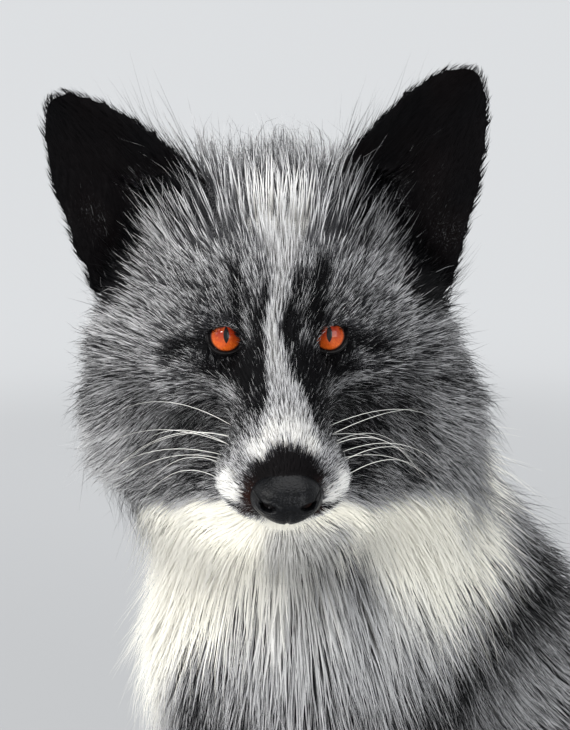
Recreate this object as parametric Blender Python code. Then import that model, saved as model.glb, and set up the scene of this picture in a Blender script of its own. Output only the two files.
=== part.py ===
"""A fox mounted life size, sitting upright, its head turned to its left and a little lowered.

Each solid takes in the coat. Metres, +Z up, and the chest faces -Y. The whole animal is shaped
first as one smooth surface over simple forms, and is then parted into its limbs by thin cuts.
"""

import math

import bmesh
import bpy
import numpy as np
from mathutils import Matrix, Vector

# Stance
EYE_POINT = np.array((0.055, -0.165, 0.468))  # midway between the eyes
HEAD_TURN = math.radians(40)  # to the fox's left
HEAD_LOWERED = math.radians(14)

# Head, as left, forward and up from the eye point
EYE_SPACING = 0.0450
EYE_RADIUS = 0.0098
EYE_OPENING = (0.0096, 0.0115, 0.0084)
NOSE_CENTRE = (0, 0.062, -0.0395)
NOSE_RADII = (0.0138, 0.0118, 0.0112)
NOSTRIL_RADII = (0.0026, 0.0050, 0.0022)
EAR_THICKNESS = 0.0065
EAR_HOLLOW = 0.022  # depth of the cup at its root
EAR_ROOT = -0.14  # how far the ear goes into the head, as a share of its height
EAR_TAPER = 0.53  # lower is rounder
EAR_CORNERS = {  # inner base, outer base and tip; the right ear spreads wider and lower
    1: ((0.032, -0.045, 0.070), (0.0860, -0.062, -0.008), (0.0925, -0.062, 0.0985)),
    -1: ((-0.037, -0.045, 0.066), (-0.0790, -0.062, -0.012), (-0.0980, -0.062, 0.0855)),
}

# Coated body
NECK_RADIUS = 0.076
CHEST_RADIUS = 0.071
TRUNK_RADIUS = 0.092
RUMP_RADIUS = 0.104
LEG_SPREAD = 0.043  # of a front leg from the middle
TAIL_RADIUS = 0.060
TAIL_CENTRE = (0.078, 0.115)  # of the oval that it lies on
TAIL_OVAL = (0.118, 0.150)
TAIL_START = math.radians(-42)
TAIL_SWEEP = math.radians(178)

# Where the nodes part
NECK_TOP = (0, -0.045, -0.088)  # from the eye point
MUZZLE_BACK = 0.017
MOUTH_UP = -0.0475
NECK_FOOT = np.array((0, -0.058, 0.352))
WAIST = np.array((0, 0.020, 0.245))
TAIL_PARTS = {"tail_base": 0.34, "tail_middle": 0.68}  # where each ends along the tail

# Surface
VOXEL = 0.0055
BODY_TRIANGLES = 3550
TAIL_TRIANGLES = 520
JOINT_GAP = 0.0004
WELD = 1e-6
FLOOR = 0.0  # the underside is cut flat here

HEAD_LEFT = np.array((math.cos(HEAD_TURN), math.sin(HEAD_TURN), 0))
HEAD_FORWARD = np.array(
    (
        math.sin(HEAD_TURN) * math.cos(HEAD_LOWERED),
        -math.cos(HEAD_TURN) * math.cos(HEAD_LOWERED),
        -math.sin(HEAD_LOWERED),
    )
)
HEAD_UP = np.cross(HEAD_FORWARD, HEAD_LEFT)
HEAD_AXES = np.array((HEAD_LEFT, HEAD_FORWARD, HEAD_UP))
SIDES = {"left": 1, "right": -1}

COATS = {  # what each piece's name starts with
    "cream": ("muzzle", "lower_jaw", "neck", "tail_tip"),
    "black": ("ear", "front", "hind", "tail_base", "tail_middle"),
    "leather": ("nose",),
    "amber": ("eye",),
}
COAT_COLOURS = {  # base colour and roughness of each kind of coat
    "silver": ((0.30, 0.30, 0.31), 0.85),
    "cream": ((0.78, 0.75, 0.68), 0.85),
    "black": ((0.02, 0.02, 0.022), 0.8),
    "leather": ((0.012, 0.012, 0.014), 0.45),
    "amber": ((0.75, 0.16, 0.02), 0.08),
}


def in_head(left, forward, up):
    """The point this far left of, forward of and above the eye point, along the head's own axes."""
    return EYE_POINT + np.array((left, forward, up)) @ HEAD_AXES


# ---------------------------------------------------------------- forms


def limb(start, start_radius, end, end_radius, blend=0.03):
    """A rounded rod that tapers from one ball to another."""
    return {
        "ends": (np.array(start, float), np.array(end, float)),
        "radii": (start_radius, end_radius),
        "blend": blend,
    }


def oval(centre, radii, axes=None, blend=0.03):
    """An egg shape with its own axes, which are rows."""
    return {
        "centre": np.array(centre, float),
        "semi": np.array(radii, float),
        "axes": np.eye(3) if axes is None else axes,
        "blend": blend,
    }


def head_oval(place, radii, blend=0.014):
    return oval(in_head(*place), radii, HEAD_AXES, blend)


def both(make):
    """What make(side) gives for the left side and for the right."""
    return [form for side in SIDES.values() for form in make(side)]


def trunk_forms():
    withers = (0, -0.004, 0.322)
    loin = (0, 0.120, 0.200)
    rump = (0, 0.152, 0.122)
    return [
        limb(withers, TRUNK_RADIUS, loin, TRUNK_RADIUS + 0.010),
        limb(loin, TRUNK_RADIUS + 0.008, rump, RUMP_RADIUS),
        limb((0.004, -0.092, 0.290), CHEST_RADIUS, (0, -0.074, 0.228), 0.058),
        limb((0, -0.055, 0.260), 0.070, (0, 0.090, 0.130), 0.085),
        *both(lambda s: [limb((s * 0.048, 0.172, 0.075), 0.070, (s * 0.050, 0.165, 0.040), 0.060)]),
    ]


def neck_forms():
    nape = in_head(0, -0.085, -0.030)
    return [
        limb(nape, NECK_RADIUS - 0.010, (0, -0.045, 0.345), NECK_RADIUS + 0.012),
        limb((0.012, -0.108, 0.385), NECK_RADIUS - 0.016, (0.004, -0.094, 0.300), NECK_RADIUS - 0.006),
        limb(in_head(0, -0.095, 0.005), 0.055, (0, -0.020, 0.355), 0.066),
    ]


def front_leg_forms(s):
    elbow = (s * 0.050, -0.078, 0.205)
    wrist = (s * LEG_SPREAD, -0.116, 0.062)
    return [
        limb((s * 0.044, -0.068, 0.272), 0.048, elbow, 0.038),
        limb(elbow, 0.035, wrist, 0.0205, blend=0.02),
        *paw_forms(wrist, (s * LEG_SPREAD, -0.163, 0.013), s * 0.06),
    ]


def paw_forms(ankle, toe, splay):
    """Four toes side by side in front of the ankle's pad."""
    ankle, toe = np.array(ankle), np.array(toe)
    heading = np.array((math.sin(splay), -math.cos(splay), 0))
    across = np.array((heading[1], -heading[0], 0))
    pad = toe - heading * 0.026 + (0, 0, 0.004)
    forms = [limb(ankle, 0.0195, pad, 0.0195, blend=0.014)]
    for place, reach in ((-1.5, -0.009), (-0.5, 0), (0.5, 0), (1.5, -0.009)):
        tip = toe + across * place * 0.0105 + heading * reach
        knuckle = pad + across * place * 0.0085 + (0, 0, 0.004)
        forms.append(limb(knuckle, 0.0110, tip, 0.0098, blend=0.004))
    return forms


def hind_leg_forms(s):
    hip = (s * 0.058, 0.132, 0.128)
    knee = (s * 0.100, 0.010, 0.146)
    heel = (s * 0.088, 0.108, 0.026)
    toe = (s * 0.098, -0.052, 0.013)
    return [
        limb(hip, 0.078, knee, 0.050),
        limb(knee, 0.046, heel, 0.024, blend=0.022),
        limb(heel, 0.023, (s * 0.094, -0.010, 0.021), 0.0195, blend=0.018),
        *paw_forms((s * 0.094, -0.012, 0.021), toe, s * 0.10),
    ]


def tail_line(share):
    """A point of the tail's middle line, from the rump round the left side to the front."""
    angle = TAIL_START + TAIL_SWEEP * share
    across, along = TAIL_OVAL
    return TAIL_CENTRE[0] + across * math.sin(angle), TAIL_CENTRE[1] + along * math.cos(angle)


def tail_radius(share):
    swell = math.sin(math.pi * min(1, 0.16 + share * 0.80)) ** 0.55
    return TAIL_RADIUS * swell


def tail_forms():
    shares = np.linspace(0, 1, 9)
    forms = []
    for a, b in zip(shares[:-1], shares[1:], strict=True):
        start, end = tail_line(a), tail_line(b)
        forms.append(
            limb(
                (*start, tail_radius(a) * 0.90),
                tail_radius(a),
                (*end, tail_radius(b) * 0.90),
                tail_radius(b),
                blend=0.010,
            )
        )
    return forms


def skull_forms():
    """The crown, brow, cheeks and ruff."""
    return [
        head_oval((0, -0.050, 0.012), (0.054, 0.056, 0.053), blend=0.02),
        head_oval((0, -0.066, 0.030), (0.058, 0.034, 0.036), blend=0.02),
        head_oval((0, -0.018, 0.006), (0.037, 0.030, 0.032)),
        head_oval((0, -0.004, -0.012), (0.024, 0.030, 0.022)),
        head_oval((0.062, -0.072, -0.082), (0.050, 0.034, 0.044), blend=0.022),
        *both(
            lambda s: [
                head_oval((s * 0.030, -0.024, -0.018), (0.029, 0.028, 0.026)),
                head_oval((s * 0.046, -0.050, -0.018), (0.038, 0.036, 0.038), blend=0.02),
                head_oval((s * 0.053, -0.060, -0.058), (0.046, 0.036, 0.048), blend=0.022),
                head_oval((s * 0.022, -0.010, 0.011), (0.014, 0.013, 0.010), blend=0.012),
            ]
        ),
    ]


def muzzle_forms():
    """The nose bridge, whisker pads, chin and jaw."""
    return [
        limb(in_head(0, 0.002, -0.015), 0.0235, in_head(0, 0.052, -0.0355), 0.0140, blend=0.012),
        head_oval((0, 0.038, -0.040), (0.0235, 0.0210, 0.0160), blend=0.012),
        *both(lambda s: [head_oval((s * 0.0115, 0.042, -0.0430), (0.0155, 0.0195, 0.0135), 0.008)]),
        limb(in_head(0, -0.040, -0.052), 0.030, in_head(0, 0.028, -0.0575), 0.0105, blend=0.016),
        head_oval((0, 0.042, -0.0575), (0.0100, 0.0120, 0.0065), blend=0.008),
    ]


def body_forms():
    """All but the tail, the ears, the eyes and the nose."""
    return [
        *trunk_forms(),
        *neck_forms(),
        *both(front_leg_forms),
        *both(hind_leg_forms),
        *skull_forms(),
        *muzzle_forms(),
    ]


# ---------------------------------------------------------------- surface


def distance_to(form, points):
    """Roughly how far each point is outside the form."""
    if "ends" in form:
        start, end = form["ends"]
        along = end - start
        share = np.clip((points - start) @ along / (along @ along), 0, 1)
        radius = form["radii"][0] + share * (form["radii"][1] - form["radii"][0])
        return np.linalg.norm(points - start - share[:, None] * along, axis=1) - radius
    place = (points - form["centre"]) @ form["axes"].T / form["semi"]
    far = np.linalg.norm(place, axis=1)
    return far * (far - 1) / np.maximum(np.linalg.norm(place / form["semi"], axis=1), 1e-9)


def field(forms, points):
    """The forms joined softly: negative inside, zero on the surface."""
    total = distance_to(forms[0], points)
    for form in forms[1:]:
        other, blend = distance_to(form, points), form["blend"]
        share = np.clip(0.5 + 0.5 * (other - total) / blend, 0, 1)
        total = other + (total - other) * share - blend * share * (1 - share)
    return total


def hull_of(form, bm):
    """Adds the form's closed hull to bm."""
    ball = bmesh.new()
    bmesh.ops.create_icosphere(ball, subdivisions=3, radius=1)
    unit = np.array([v.co for v in ball.verts])
    ball.clear()
    if "ends" in form:
        balls = [c + unit * r for c, r in zip(form["ends"], form["radii"], strict=True)]
        points = np.concatenate(balls)
    else:
        points = form["centre"] + unit * form["semi"] @ form["axes"]
    corners = [ball.verts.new(p) for p in points]
    inner = bmesh.ops.convex_hull(ball, input=corners)["geom_interior"]
    bmesh.ops.delete(ball, geom=[v for v in inner if isinstance(v, bmesh.types.BMVert)])
    mesh = bpy.data.meshes.new("hull")
    ball.to_mesh(mesh)
    bm.from_mesh(mesh)
    ball.free()
    bpy.data.meshes.remove(mesh)


def evaluated_mesh(obj):
    graph = bpy.context.evaluated_depsgraph_get()
    return bpy.data.meshes.new_from_object(obj.evaluated_get(graph))


def new_object(name, mesh):
    obj = bpy.data.objects.new(name, mesh)
    bpy.context.scene.collection.objects.link(obj)
    return obj


def settle(mesh, forms, rounds=4):
    """Moves each vertex onto the softly joined surface."""
    points = np.array([v.co for v in mesh.vertices], float)
    small = 1e-4
    for _ in range(rounds):
        here = field(forms, points)
        slope = np.stack([(field(forms, points + step) - here) / small for step in np.eye(3) * small], 1)
        steep = np.maximum((slope**2).sum(1), 0.2)
        points -= np.clip(here / steep, -0.006, 0.006)[:, None] * slope
    mesh.vertices.foreach_set("co", points.astype(np.float32).ravel())
    mesh.update()


def fineness(points):
    """How much detail each point keeps, from 0 on the body to 1 on the face and paws."""
    from_face = np.linalg.norm(points - in_head(0, 0.015, -0.020), axis=1)
    face = np.clip(1.35 - from_face / 0.075, 0, 1)
    paws = np.clip((0.055 - points[:, 2]) / 0.03, 0, 1) * (points[:, 1] < 0.0) * (points[:, 0] < 0.13)
    return np.maximum(face, 0.36 * paws)


def shaped(name, forms, triangles):
    """The forms as one closed mesh on their softly joined surface."""
    bm = bmesh.new()
    for form in forms:
        hull_of(form, bm)
    body = finished(name, bm)
    remesh = body.modifiers.new("Remesh", "REMESH")
    remesh.mode, remesh.voxel_size = "VOXEL", VOXEL
    body.data = evaluated_mesh(body)
    body.modifiers.clear()
    settle(body.data, forms)
    smooth = body.modifiers.new("Smooth", "SMOOTH")
    smooth.iterations = 3
    body.data = evaluated_mesh(body)
    body.modifiers.clear()
    settle(body.data, forms, rounds=3)
    thin_out(body, triangles)
    return body


def thin_out(body, triangles):
    points = np.array([v.co for v in body.data.vertices], float)
    group = body.vertex_groups.new(name="plain")
    for index, share in enumerate(1 - fineness(points)):
        group.add([index], float(share), "REPLACE")
    decimate = body.modifiers.new("Decimate", "DECIMATE")
    decimate.ratio = triangles / (2 * len(body.data.polygons))
    decimate.vertex_group, decimate.vertex_group_factor = "plain", 0.6
    body.data = evaluated_mesh(body)
    body.modifiers.clear()
    body.vertex_groups.clear()


# ---------------------------------------------------------------- cutting


def combined(obj, cutter, operation):
    boolean = obj.modifiers.new("Boolean", "BOOLEAN")
    boolean.object, boolean.operation = cutter, operation
    mesh = evaluated_mesh(obj)
    obj.modifiers.remove(boolean)
    return mesh


def box_cutter(centre, size, axes=None):
    """A function that makes the box with its sides moved out by grow."""

    def make(grow):
        bm = bmesh.new()
        bmesh.ops.create_cube(bm, size=1)
        bmesh.ops.scale(bm, vec=np.array(size) + 2 * grow, verts=bm.verts)
        place(bm, centre, axes)
        return bm

    return make


def egg_cutter(centre, radii, axes=None, segments=28):
    def make(grow):
        bm = bmesh.new()
        bmesh.ops.create_uvsphere(bm, u_segments=segments, v_segments=segments // 2, radius=1)
        bmesh.ops.scale(bm, vec=np.array(radii) + grow, verts=bm.verts)
        place(bm, centre, axes)
        return bm

    return make


def place(bm, centre, axes):
    turn = Matrix(np.eye(3) if axes is None else axes).transposed().to_4x4()
    bmesh.ops.transform(bm, matrix=Matrix.Translation(Vector(centre)) @ turn, verts=bm.verts)
    bmesh.ops.recalc_face_normals(bm, faces=bm.faces)


def cutter_object(make, grow):
    mesh = bpy.data.meshes.new("cutter")
    bm = make(grow)
    bm.to_mesh(mesh)
    bm.free()
    cutter = new_object("cutter", mesh)
    cutter.hide_render = True
    return cutter


def carve(body, name, make):
    """Takes what lies within the cutter off the body as its own object, leaving a thin joint."""
    inner, outer = cutter_object(make, -JOINT_GAP / 2), cutter_object(make, JOINT_GAP / 2)
    piece = new_object(name, combined(body, inner, "INTERSECT"))
    body.data = combined(body, outer, "DIFFERENCE")
    for cutter in (inner, outer):
        bpy.data.objects.remove(cutter)
    return piece


def hollow(obj, make, grow=0.0):
    cutter = cutter_object(make, grow)
    obj.data = combined(obj, cutter, "DIFFERENCE")
    bpy.data.objects.remove(cutter)


def keep_off(piece, other):
    """Cuts the piece back to a thin joint's width from the other."""
    grown = fattened(other, JOINT_GAP)
    piece.data = combined(piece, grown, "DIFFERENCE")
    bpy.data.objects.remove(grown)


def fattened(obj, by):
    """A copy of the object with its surface moved out."""
    copy = new_object("fattened", obj.data.copy())
    bm = bmesh.new()
    bm.from_mesh(copy.data)
    bm.normal_update()
    for v in bm.verts:
        v.co += v.normal * by
    bm.to_mesh(copy.data)
    bm.free()
    return copy


def axes_along(direction, level=(0, 0, 1)):
    """Rows: across, level and along the direction."""
    along = Vector(direction).normalized()
    across = Vector(level).cross(along).normalized()
    return np.array((across, along.cross(across), along))


# ---------------------------------------------------------------- head pieces


def eye_centre(s):
    return in_head(s * (EYE_SPACING / 2 - 0.0005), -0.0065, -0.0005)


def eye(name, s):
    bm = egg_cutter(eye_centre(s), (EYE_RADIUS,) * 3, HEAD_AXES, segments=16)(0)
    return finished(name, bm)


def nose(name):
    """A broad rounded pad with two nostrils."""
    pad = finished(name, egg_cutter(in_head(*NOSE_CENTRE), NOSE_RADII, HEAD_AXES, segments=16)(0))
    for s in SIDES.values():
        place = NOSE_CENTRE + np.array((s * 0.0070, 0.0108, -0.0012))
        hollow(pad, egg_cutter(in_head(*place), NOSTRIL_RADII, HEAD_AXES, segments=8))
    return pad


def ear(name, s, rows=9, around=12):
    """A pointed shell with a rounded tip, hollow to the front: crescents stacked on one another."""
    inner, outer, tip = (in_head(*corner) for corner in EAR_CORNERS[s])
    base = (inner + outer) / 2
    half = (outer - inner) / 2
    bm = bmesh.new()
    rings = []
    for step in np.linspace(0, 0.97, rows):
        v = EAR_ROOT + (1 - EAR_ROOT) * math.sin(step * math.pi / 2)
        narrowing = (1 - max(v, 0)) ** EAR_TAPER * (1 + 0.1 * max(v, 0))
        depth = EAR_HOLLOW * (1 - 0.75 * v)
        wall = EAR_THICKNESS / 2 * (1 - 0.35 * max(v, 0) ** 2)
        ring = []
        for turn in np.linspace(0, 2 * math.pi, around, endpoint=False):
            u = math.cos(turn)
            point = base + (tip - base) * v + half * u * narrowing
            forward = wall * math.sin(turn) - depth * (1 - u * u)
            ring.append(bm.verts.new(point + HEAD_FORWARD * forward))
        rings.append(ring)
    for low, high in zip(rings[:-1], rings[1:], strict=True):
        for i in range(around):
            bm.faces.new((low[i - 1], low[i], high[i], high[i - 1]))
    bm.faces.new(rings[0])
    bm.faces.new(rings[-1])
    bmesh.ops.triangulate(bm, faces=[f for f in bm.faces if len(f.verts) > 4])
    bmesh.ops.recalc_face_normals(bm, faces=bm.faces)
    return finished(name, bm)


def finished(name, bm):
    mesh = bpy.data.meshes.new(name)
    bm.to_mesh(mesh)
    bm.free()
    return new_object(name, mesh)


# ---------------------------------------------------------------- parting


def part_head(body):
    """The head, muzzle and jaw, each with its own node."""
    neck_top = axes_along(in_head(0, -0.04, 0.03) - np.array((0.0, -0.085, 0.36)))
    size = np.array((0.30, 0.34, 0.30))
    head = carve(body, "head", box_cutter(in_head(*NECK_TOP) + neck_top[2] * size[2] / 2, size, neck_top))
    size = np.array((0.10, 0.12, 0.14))
    front = in_head(0, MUZZLE_BACK + size[1] / 2, -0.04)
    muzzle = carve(head, "muzzle", box_cutter(front, size, HEAD_AXES))
    size = np.array((0.12, 0.16, 0.10))
    mouth = in_head(0, 0.05, MOUTH_UP - size[2] / 2)
    jaw = carve(muzzle, "lower_jaw", box_cutter(mouth, size, HEAD_AXES))
    return head, muzzle, jaw


def part_neck(body):
    size = np.array((0.32, 0.34, 0.24))
    axes = axes_along((0.0, -0.30, 0.95))
    return carve(body, "neck", box_cutter(NECK_FOOT + axes[2] * size[2] / 2, size, axes))


def part_chest(body):
    size = np.array((0.36, 0.40, 0.30))
    axes = axes_along((0, -0.62, 0.78))
    return carve(body, "chest", box_cutter(WAIST + axes[2] * size[2] / 2, size, axes))


def part_legs(body):
    """Each paw is cut at the ankle, and each leg where it leaves the body."""
    pieces = []
    for side, s in SIDES.items():
        paw = box_cutter((s * 0.05, -0.15, 0.016), (0.09, 0.13, 0.064))
        pieces.append(carve(body, f"front_paw_{side}", paw))
        elbow, wrist = np.array((s * 0.052, -0.084, 0.196)), np.array((s * 0.044, -0.122, 0.030))
        size = (0.076, 0.082, np.linalg.norm(elbow - wrist))
        shank = box_cutter((elbow + wrist) / 2, size, axes_along(elbow - wrist))
        pieces.append(carve(body, f"front_leg_{side}", shank))
        foot = box_cutter((s * 0.097, 0.010, 0.0130), (0.070, 0.200, 0.060))
        pieces.append(carve(body, f"hind_paw_{side}", foot))
        thigh = egg_cutter((s * 0.165, 0.035, 0.095), (0.115, 0.155, 0.120))
        pieces.append(carve(body, f"hind_leg_{side}", thigh))
    return pieces


def part_tail(tail):
    """Three lengths, parted square to the tail's line. What is left is the tip."""
    size = np.array((0.20, 0.20, 0.20))
    pieces = []
    for name, share in TAIL_PARTS.items():
        here, ahead = (np.array((*tail_line(t), 0.05)) for t in (share, share + 0.01))
        axes = axes_along(here - ahead)
        pieces.append(carve(tail, name, box_cutter(here + axes[2] * size[2] / 2, size, axes)))
    return [*pieces, tail]


def keep_largest(obj):
    """Drops the crumbs that a cut has left beside the piece."""
    bm = bmesh.new()
    bm.from_mesh(obj.data)
    bmesh.ops.remove_doubles(bm, verts=bm.verts, dist=WELD)
    left, islands = set(bm.verts), []
    while left:
        front = [left.pop()]
        island = list(front)
        while front:
            here = front.pop()
            near = {edge.other_vert(here) for edge in here.link_edges} & left
            left -= near
            front += near
            island += near
        islands.append(island)
    islands.sort(key=len)
    crumbs = [v for island in islands[:-1] for v in island]
    bmesh.ops.delete(bm, geom=crumbs, context="VERTS")
    bm.to_mesh(obj.data)
    bm.free()


def centre_on_floor(pieces):
    """Moves the fox so that its box stands on the floor with its middle over the origin."""
    points = np.concatenate([[v.co for v in piece.data.vertices] for piece in pieces])
    middle = (points.min(0) + points.max(0)) / 2
    for piece in pieces:
        piece.data.transform(Matrix.Translation((-middle[0], -middle[1], -FLOOR)))


def painted(obj):
    kind = next((kind for kind, names in COATS.items() if obj.name.startswith(names)), "silver")
    colour, roughness = COAT_COLOURS[kind]
    material = bpy.data.materials.new(obj.name)
    material.use_nodes = True
    shader = material.node_tree.nodes["Principled BSDF"]
    shader.inputs["Base Color"].default_value = (*colour, 1)
    shader.inputs["Roughness"].default_value = roughness
    shader.inputs["Metallic"].default_value = 0
    obj.data.materials.clear()
    obj.data.materials.append(material)


def main():
    for obj in list(bpy.data.objects):
        bpy.data.objects.remove(obj)
    body = shaped("hindquarters", body_forms(), BODY_TRIANGLES)
    tail = shaped("tail_tip", tail_forms(), TAIL_TRIANGLES)
    floor = box_cutter((0.1, 0, FLOOR - 0.1), (1.2, 1.2, 0.2))
    hollow(body, floor)
    hollow(tail, floor)
    keep_off(tail, body)
    head, muzzle, jaw = part_head(body)
    neck = part_neck(body)
    legs = part_legs(body)
    chest = part_chest(body)
    pieces = [body, chest, head, muzzle, jaw, neck, *legs, *part_tail(tail)]
    for side, s in SIDES.items():
        socket = egg_cutter(eye_centre(s), (EYE_RADIUS,) * 3, HEAD_AXES, segments=16)
        opening = egg_cutter(in_head(s * EYE_SPACING / 2, 0.007, 0), EYE_OPENING, HEAD_AXES, 16)
        for part in (head, muzzle):
            hollow(part, opening)
            hollow(part, socket, JOINT_GAP)
        pieces.append(eye(f"eye_{side}", s))
        pinna = ear(f"ear_{side}", s)
        keep_off(pinna, head)
        pieces.append(pinna)
    pad = egg_cutter(in_head(*NOSE_CENTRE), NOSE_RADII, HEAD_AXES, segments=16)
    hollow(muzzle, pad, JOINT_GAP)
    hollow(jaw, pad, JOINT_GAP)
    pieces.append(nose("nose"))
    for piece in pieces:
        keep_largest(piece)
        painted(piece)
    centre_on_floor(pieces)


main()
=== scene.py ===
import math

import bmesh
import bpy
import numpy as np
from mathutils import Matrix, Vector, noise
from mathutils.bvhtree import BVHTree


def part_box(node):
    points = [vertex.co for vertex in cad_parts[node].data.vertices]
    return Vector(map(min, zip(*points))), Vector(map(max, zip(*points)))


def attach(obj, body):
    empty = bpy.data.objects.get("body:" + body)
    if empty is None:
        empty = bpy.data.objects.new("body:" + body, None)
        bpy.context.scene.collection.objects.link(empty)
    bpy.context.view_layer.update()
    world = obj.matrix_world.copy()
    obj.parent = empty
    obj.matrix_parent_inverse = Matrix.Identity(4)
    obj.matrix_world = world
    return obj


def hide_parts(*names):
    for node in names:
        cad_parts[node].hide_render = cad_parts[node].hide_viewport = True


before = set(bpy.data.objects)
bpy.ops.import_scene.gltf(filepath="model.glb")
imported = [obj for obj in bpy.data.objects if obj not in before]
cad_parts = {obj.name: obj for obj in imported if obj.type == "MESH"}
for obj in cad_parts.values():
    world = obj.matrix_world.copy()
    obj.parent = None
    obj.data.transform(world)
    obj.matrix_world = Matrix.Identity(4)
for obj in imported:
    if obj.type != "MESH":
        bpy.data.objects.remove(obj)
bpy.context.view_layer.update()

# where the head is: left, forward and up from the point between the eyes
headPose = {"turned": math.radians(40), "lowered": math.radians(14), "eyeBehind": 0.0065, "eyeBelow": 0.0005}

turned, lowered = headPose["turned"], headPose["lowered"]
headLeft = np.array((math.cos(turned), math.sin(turned), 0))
headForward = np.array(
    (math.sin(turned) * math.cos(lowered), -math.cos(turned) * math.cos(lowered), -math.sin(lowered))
)
headUp = np.cross(headForward, headLeft)
headAxes = np.array((headLeft, headForward, headUp))


def middleOf(node):
    low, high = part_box(node)
    return np.array((low + high) / 2)


eyeMiddle = (middleOf("eye_left") + middleOf("eye_right")) / 2
browPoint = eyeMiddle + headForward * headPose["eyeBehind"] + headUp * headPose["eyeBelow"]


def inHead(left, forward, up):
    return browPoint + np.array((left, forward, up)) @ headAxes


def headCoords(points):
    return (points - browPoint) @ headAxes.T


def ramp(x, low, high):
    t = np.clip((np.asarray(x, float) - low) / (high - low), 0, 1)
    return t * t * (3 - 2 * t)


# straight lines between these pairs
def stepped(x, *pairs):
    return np.interp(x, *zip(*pairs, strict=True))


# 1 inside these two values, with soft edges
def band(x, low, high, soft):
    return ramp(x, low - soft, low + soft) * (1 - ramp(x, high - soft, high + soft))


# 1 where this is 0, falling away on both sides
def hump(off, wide):
    return np.exp(-((off / wide) ** 2))


def unit(vectors):
    return vectors / np.maximum(np.linalg.norm(vectors, axis=-1, keepdims=True), 1e-9)


def mixed(a, b, share):
    return a + (b - a) * share


# tones laid one over another, each with its share
def painted(tone, *patches):
    for patch, share in patches:
        tone = mixed(tone, patch, share)
    return tone


# camera, floor and light
shot = {
    "azimuth": 36,
    "elevation": 10,
    "distance": 0.5,
    "lens": 58.7,
    "aside": 0.00294,  # the aim, to the right of the point between the eyes
    "below": 0.0105,
}


def makeCamera():
    az, el = math.radians(shot["azimuth"]), math.radians(shot["elevation"])
    back = Vector((math.sin(az) * math.cos(el), -math.cos(az) * math.cos(el), math.sin(el)))
    right = Vector((math.cos(az), math.sin(az), 0))
    up = back.cross(right)
    aim = Vector(browPoint) + right * shot["aside"] - up * shot["below"]
    data = bpy.data.cameras.new("camera")
    data.lens, data.sensor_width = shot["lens"], 36
    data.clip_start = 0.02
    camera = newObject("camera", data)
    place = aim + back * shot["distance"]
    camera.matrix_world = Matrix.Translation(place) @ Matrix((right, up, back)).transposed().to_4x4()
    bpy.context.scene.camera = camera


def newObject(name, mesh):
    obj = bpy.data.objects.new(name, mesh)
    bpy.context.scene.collection.objects.link(obj)
    return obj


def makeObject(name, verts, faces):
    mesh = bpy.data.meshes.new(name)
    mesh.from_pydata([tuple(v) for v in verts], [], faces)
    mesh.update()
    mesh.shade_smooth()
    return newObject(name, mesh)


# the quads between rings of points that follow one another
def ringFaces(base, rings, around):
    faces = []
    for i in range(rings - 1):
        low, high = base + i * around, base + (i + 1) * around
        for j in range(around):
            k = (j + 1) % around
            faces.append((low + j, low + k, high + k, high + j))
    return faces


# the same, closed at both ends
def rodFaces(base, rings, around):
    last = base + (rings - 1) * around
    ends = [tuple(base + j for j in reversed(range(around))), tuple(last + j for j in range(around))]
    return ringFaces(base, rings, around) + ends


studio = {
    "paper": (0.16, 0.162, 0.165),
    "world": 0.50,
    "floorReach": 2.4,
    "wallReach": 3.4,
    "wallHigh": 3.0,
    "glow": (0.30, 0.615),  # of the backdrop, near and far
    "glowFrom": (0.5, 2.9),  # metres from the middle
}


# a floor that curves up into a wall all round, so that no edge shows
def makeBackdrop():
    rings, around = 48, 96
    verts = []
    for i in range(rings):
        t = i / (rings - 1)
        out = max(0, t - 0.4) / 0.6
        reach = 0.02 + studio["floorReach"] * min(1, t / 0.4)
        reach += (studio["wallReach"] - studio["floorReach"]) * math.sin(min(1, out * 2) * math.pi / 2)
        bend = 1 - math.cos(min(1, out * 2) * math.pi / 2)
        height = studio["wallHigh"] * (0.33 * bend + 0.67 * max(0, out * 2 - 1))
        for j in range(around):
            a = 2 * math.pi * j / around
            verts.append((reach * math.cos(a), reach * math.sin(a), height))
    faces = [*ringFaces(0, rings, around), tuple(reversed(range(around)))]
    floor = makeObject("studioFloor", verts, faces)
    paper = bpy.data.materials.new("studioPaper")
    paper.use_nodes = True
    shader = paper.node_tree.nodes["Principled BSDF"]
    shader.inputs["Base Color"].default_value = (*studio["paper"], 1)
    shader.inputs["Roughness"].default_value = 0.95
    # a faint glow of its own keeps the backdrop even from the floor to the top
    nodes, links = paper.node_tree.nodes, paper.node_tree.links
    place = nodes.new("ShaderNodeTexCoord")
    away = nodes.new("ShaderNodeVectorMath")
    away.operation = "LENGTH"
    links.new(place.outputs["Object"], away.inputs[0])
    shade = nodes.new("ShaderNodeMapRange")
    shade.interpolation_type = "SMOOTHSTEP"
    shade.inputs["From Min"].default_value, shade.inputs["From Max"].default_value = studio["glowFrom"]
    shade.inputs["To Min"].default_value, shade.inputs["To Max"].default_value = studio["glow"]
    links.new(away.outputs["Value"], shade.inputs["Value"])
    links.new(shade.outputs["Result"], shader.inputs["Emission Strength"])
    shader.inputs["Emission Color"].default_value = (0.96, 0.98, 1.0, 1)
    floor.data.materials.append(paper)


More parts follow.
